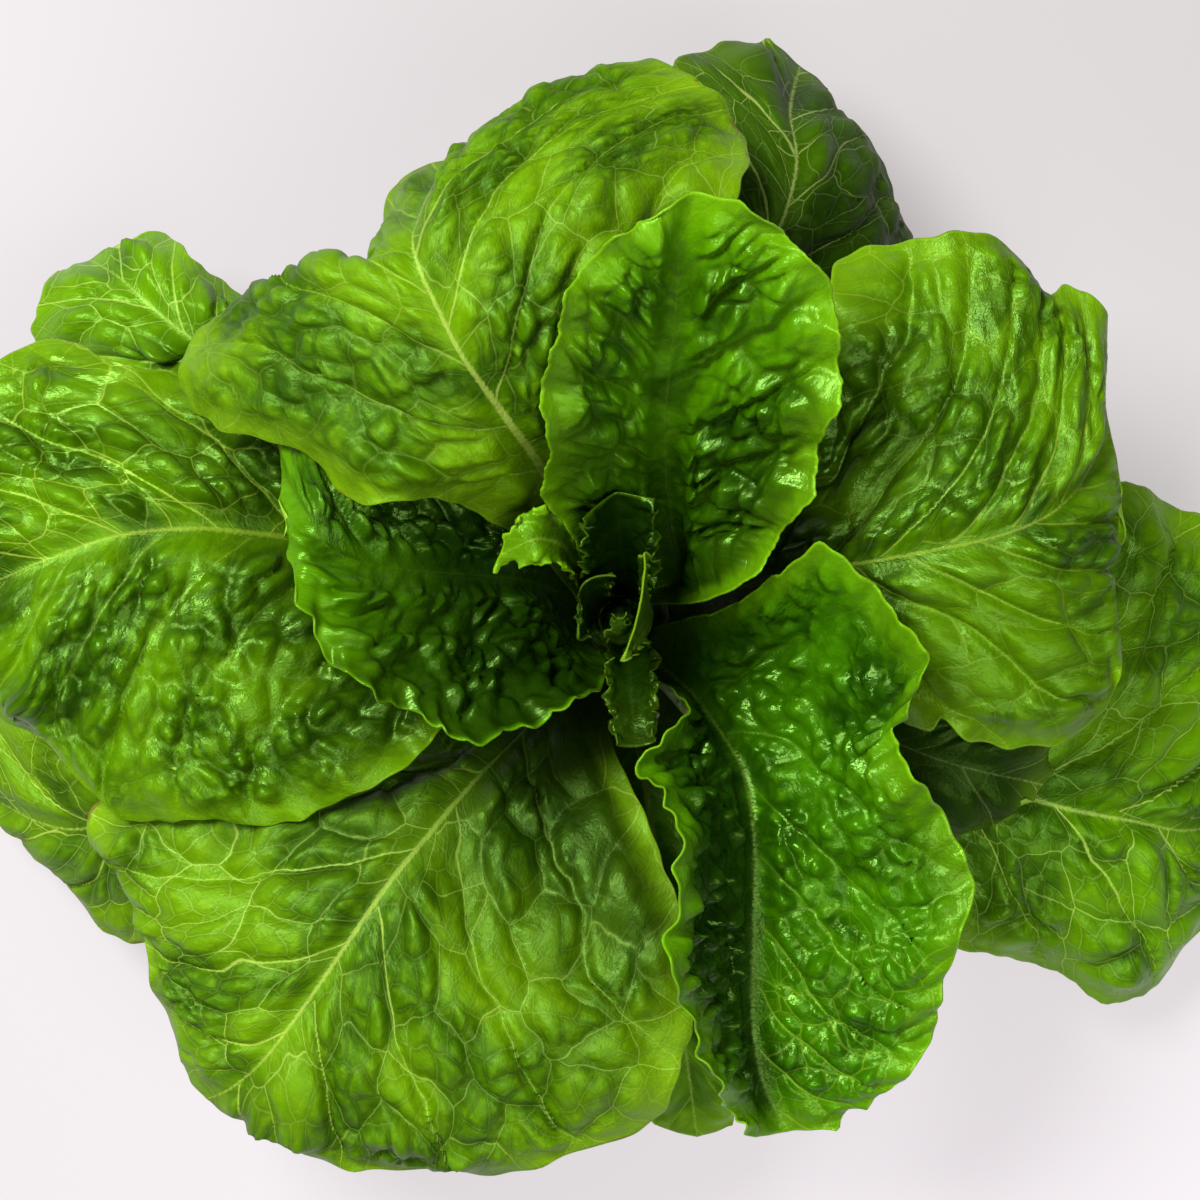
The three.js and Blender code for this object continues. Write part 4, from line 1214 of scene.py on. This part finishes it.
def relieved(name, mesh, relief, sizes, material):
    """The mesh with its relief raised by the node tree, as a plain mesh object."""
    carrier = bpy.data.objects.new(name, mesh)
    bpy.context.scene.collection.objects.link(carrier)
    modifier = carrier.modifiers.new("relief", "NODES")
    modifier.node_group = relief
    sockets = {item.name: item.identifier for item in relief.interface.items_tree
               if item.in_out == "INPUT"}
    for key, value in sizes.items():
        modifier[sockets[key]] = value
    modifier[sockets["Material"]] = material
    bpy.context.view_layer.update()
    evaluated = carrier.evaluated_get(bpy.context.evaluated_depsgraph_get())
    plain = bpy.data.meshes.new_from_object(evaluated)
    plain.name = name
    carrier.modifiers.remove(modifier)
    carrier.data = plain
    bpy.data.meshes.remove(mesh)
    return carrier


def leaf_piece(leaf, grid, seed, rib_share):
    """One finished leaf, with its habit's sizes wherever the leaf has none of its own."""
    leaf = {"fan": 1.3, "bent": False, "finish": leaf["slot"], "shaded": (0, 0),
            "net_from": (-1, 0), "rib": 1, "pale_back": 1, "own_relief": {}, "notches": [],
            **HABITS[leaf["habit"]], **leaf}
    mesh = leaf_mesh(leaf, *grid, seed, rib_share)
    sizes = {**dict(zip(RELIEF_NAMES, leaf["relief"])), **leaf["own_relief"]}
    made = relieved(leaf["name"] + "_blade", mesh, RELIEFS[leaf["bent"]], sizes,
                    LEAF_FINISHES[leaf["finish"]])
    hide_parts(leaf["name"])
    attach(made, "root")


for number, leaf in enumerate(LARGE_LEAVES):
    leaf_grid = BROAD_GRID if leaf["name"] in UPPER_NAMES else NARROW_GRID
    leaf_piece(leaf, leaf_grid, FIRST_LARGE_SEED + number, 1)

# ---------------------------------------------------------------------------------------------
# Heart leaves. Six small, tightly crinkled blades that stand up round the tip of the stem, painted
# darker than the large ones as the shade of the hollow, darkest in their folds, more frilled than
# the large ones, folded in over the growing point.
# ---------------------------------------------------------------------------------------------
HEART_GRID = (72, 48)
HEART_MARGIN = {"ruffle": 0.9, "waves": 3}
HEART_EDGE = [(1.7, 0.2), (4.1, 0.35), (9, 0.8)]
# Where along a heart leaf the painted shade of its foot starts and ends.
HEART_FOOT = (0.9, 1.6)
HEART_RIB_SHARE = 0.15
HEART_PALE_BACK = 0.25
FIRST_HEART_SEED = 71

HEART_LEAVES = [
    {
        "name": "heart_north", "base": {"angle": 84, "height": 67, "wrap": 44}, "around": [0, 0],
        "rim": 0.05, "lit_margin": 0.1,
        "stations": [
            [[1, 12, 81], [-8, 9, 84], [9, 9, 83]],
            [[0, 20, 94], [-9, 15, 101], [9, 17, 97]],
            [[-1, 31, 108], [-9, 25, 114], [8, 29, 110]],
        ],
    },
    {
        "name": "heart_south", "base": {"angle": 290, "height": 66, "wrap": 40}, "around": [0, 0],
        "rim": 0.15, "foot": (0.4, 1.1),
        "stations": [
            [[2, -12, 79], [9, -9, 81], [-3, -10, 81]],
            [[3, -21, 87], [9, -19, 89], [-3, -20, 88]],
            [[4, -31, 94], [9, -30, 94], [-1, -31, 94]],
        ],
    },
    {
        "name": "heart_east", "base": {"angle": 0, "height": 69, "wrap": 40}, "around": [-40, 3],
        "rim": 0.5, "lit_margin": 0.2,
        "stations": [
            [[7, 1, 79], [6, 6, 80], [6, -5, 80]],
            [[6, 3, 92], [6, 11, 94], [3, -8, 94]],
            [[4, 4, 105], [6, 17, 105], [0, -10, 102]],
        ],
    },
    {
        "name": "heart_west", "base": {"angle": 150, "height": 70, "wrap": 60}, "around": [0, 0],
        "rim": 0.15, "lit_margin": 0.2,
        "stations": [
            [[-7, 4, 80], [-7, -3, 82], [-3, 7, 82]],
            [[-8, 5, 89], [-9, -4, 90], [-2, 9, 91]],
            [[-8, 9, 98], [-11, 5, 95], [-2, 11, 96]],
        ],
    },
    {
        "name": "heart_northwest", "slot": "inner_leaf",
        "base": {"angle": 132, "height": 64, "wrap": 28}, "around": [0, 0], "finish": "bent_leaf",
        "foot": (0.4, 0.8),
        "stations": [
            [[-9, 11, 80], [-10, 8, 79], [-7, 13, 81]],
            [[-15, 19, 97], [-15, 14, 97], [-16, 26, 99]],
            [[-21, 20, 104], [-20, 14, 102], [-22, 28, 104]],
            [[-30, 16, 101], [-31, 13, 100], [-28, 20, 102]],
        ],
    },
    {
        "name": "heart_core", "base": {"angle": 270, "height": 72, "wrap": 40}, "around": [0, 6],
        "rim": 0.1, "lit_margin": 0.1, "foot": (0.5, 1.3),
        "stations": [
            [[0, -4, 81], [3, -3, 81], [-3, -4, 81]],
            [[0, -2, 88], [2, -1, 88], [-3, -2, 88]],
            [[0, 1, 92], [1, 1, 92], [-2, 1, 92]],
        ],
    },
]

for number, leaf in enumerate(HEART_LEAVES):
    grown = {"slot": "heart_leaf", "habit": "heart", "margin": HEART_MARGIN, "edge": HEART_EDGE,
             "foot": HEART_FOOT, "bent": True, "pale_back": HEART_PALE_BACK, **leaf}
    leaf_piece(grown, HEART_GRID, FIRST_HEART_SEED + number, HEART_RIB_SHARE)

# ---------------------------------------------------------------------------------------------
# Table, light and camera. A plain pale table top that glows as painted light, with a faint painted
# slanting shade and a painted shadow under the head, a large soft light from the upper left with a
# weaker one opposite, and a camera straight above the head.
# ---------------------------------------------------------------------------------------------
TABLE_SIZE = 6.0
TABLE_TINTS = (tint(104, 102, 103), tint(99, 97, 98))
# The table's glowing is painted light, tinted from bright to dimmer as a painted slanting shade, and faded
# to black within a ring round the stem, in metres, as a painted shadow.
PAINTED_GLOW_TINTS = (tint(254, 247, 252), tint(210, 204, 203))
PAINTED_SHADOW_RING = (0.03, 0.09)
ROOM_TINT = (0.97, 0.96, 1.0, 1)
ROOM_STRENGTH = 0.12
CAMERA_PLACE = (-0.005, 0.005, 1.0)
CAMERA_REACH = 20
LENS = 109.2
SENSOR = 36.0


def table_material():
    """A pale matt top that glows as painted light, even but for a faint painted slanting shade and a
    painted shadow under the head.
    """
    made, tree = new_material("pale_table")
    place = node(tree, "ShaderNodeTexCoord").outputs["Object"]
    x, y, _ = parts(tree, place)
    # Painted shade: the glowing slants from brighter to dimmer across the table.
    shade_slant = maths(tree, "MULTIPLY_ADD", x, 3.7, 0.8)
    shade_slant = maths(tree, "MULTIPLY_ADD", shade_slant, y, maths(tree, "MULTIPLY", x, 0.15))
    painted_glow = blend(tree, step(tree, shade_slant, -0.25, 0.25), *PAINTED_GLOW_TINTS)
    # Painted shadow: the glowing fades to black near the stem, under the head.
    painted_glow = blend(tree, step(tree, length_of(tree, place), *PAINTED_SHADOW_RING), (0, 0, 0, 1), painted_glow)
    surface(tree, {
        "Base Color": blend(tree, clouds(tree, place, 3.0, 2.0), *TABLE_TINTS),
        "Emission Color": painted_glow,
        "Emission Strength": 0.7,
        "Roughness": 0.9,
        "Specular IOR Level": 0.1,
    })
    return made


def soft_light(name, place, size, power, colour):
    """A round light that faces the head and can't be seen itself."""
    light = bpy.data.lights.new(name, "AREA")
    light.shape = "DISK"
    light.size = size
    light.energy = power
    light.color = colour
    lamp = bpy.data.objects.new(name, light)
    lamp.location = place
    lamp.rotation_euler = (-Vector(place)).to_track_quat("-Z", "Y").to_euler()
    lamp.visible_camera = False
    bpy.context.scene.collection.objects.link(lamp)


half = TABLE_SIZE / 2 / MM
table = mesh_object("table_top", [(-half, -half, 0), (half, -half, 0), (half, half, 0), (-half, half, 0)],
                    [(0, 1, 2, 3)], table_material(), smooth=False)

soft_light("window_light", (-0.6, 0.5, 1.3), 0.6, 43, (0.98, 1.0, 0.99))
soft_light("ceiling_light", (0.45, -0.6, 1.6), 1.1, 23, (1.0, 0.99, 0.98))

world = bpy.data.worlds.new("room")
world.use_nodes = True
world.node_tree.nodes["Background"].inputs["Color"].default_value = ROOM_TINT
world.node_tree.nodes["Background"].inputs["Strength"].default_value = ROOM_STRENGTH
bpy.context.scene.world = world
bpy.context.scene.view_settings.view_transform = "Standard"

view = bpy.data.cameras.new("camera")
view.lens = LENS
view.sensor_width = SENSOR
view.clip_end = CAMERA_REACH
camera = bpy.data.objects.new("camera", view)
camera.location = CAMERA_PLACE
bpy.context.scene.collection.objects.link(camera)
bpy.context.scene.camera = camera
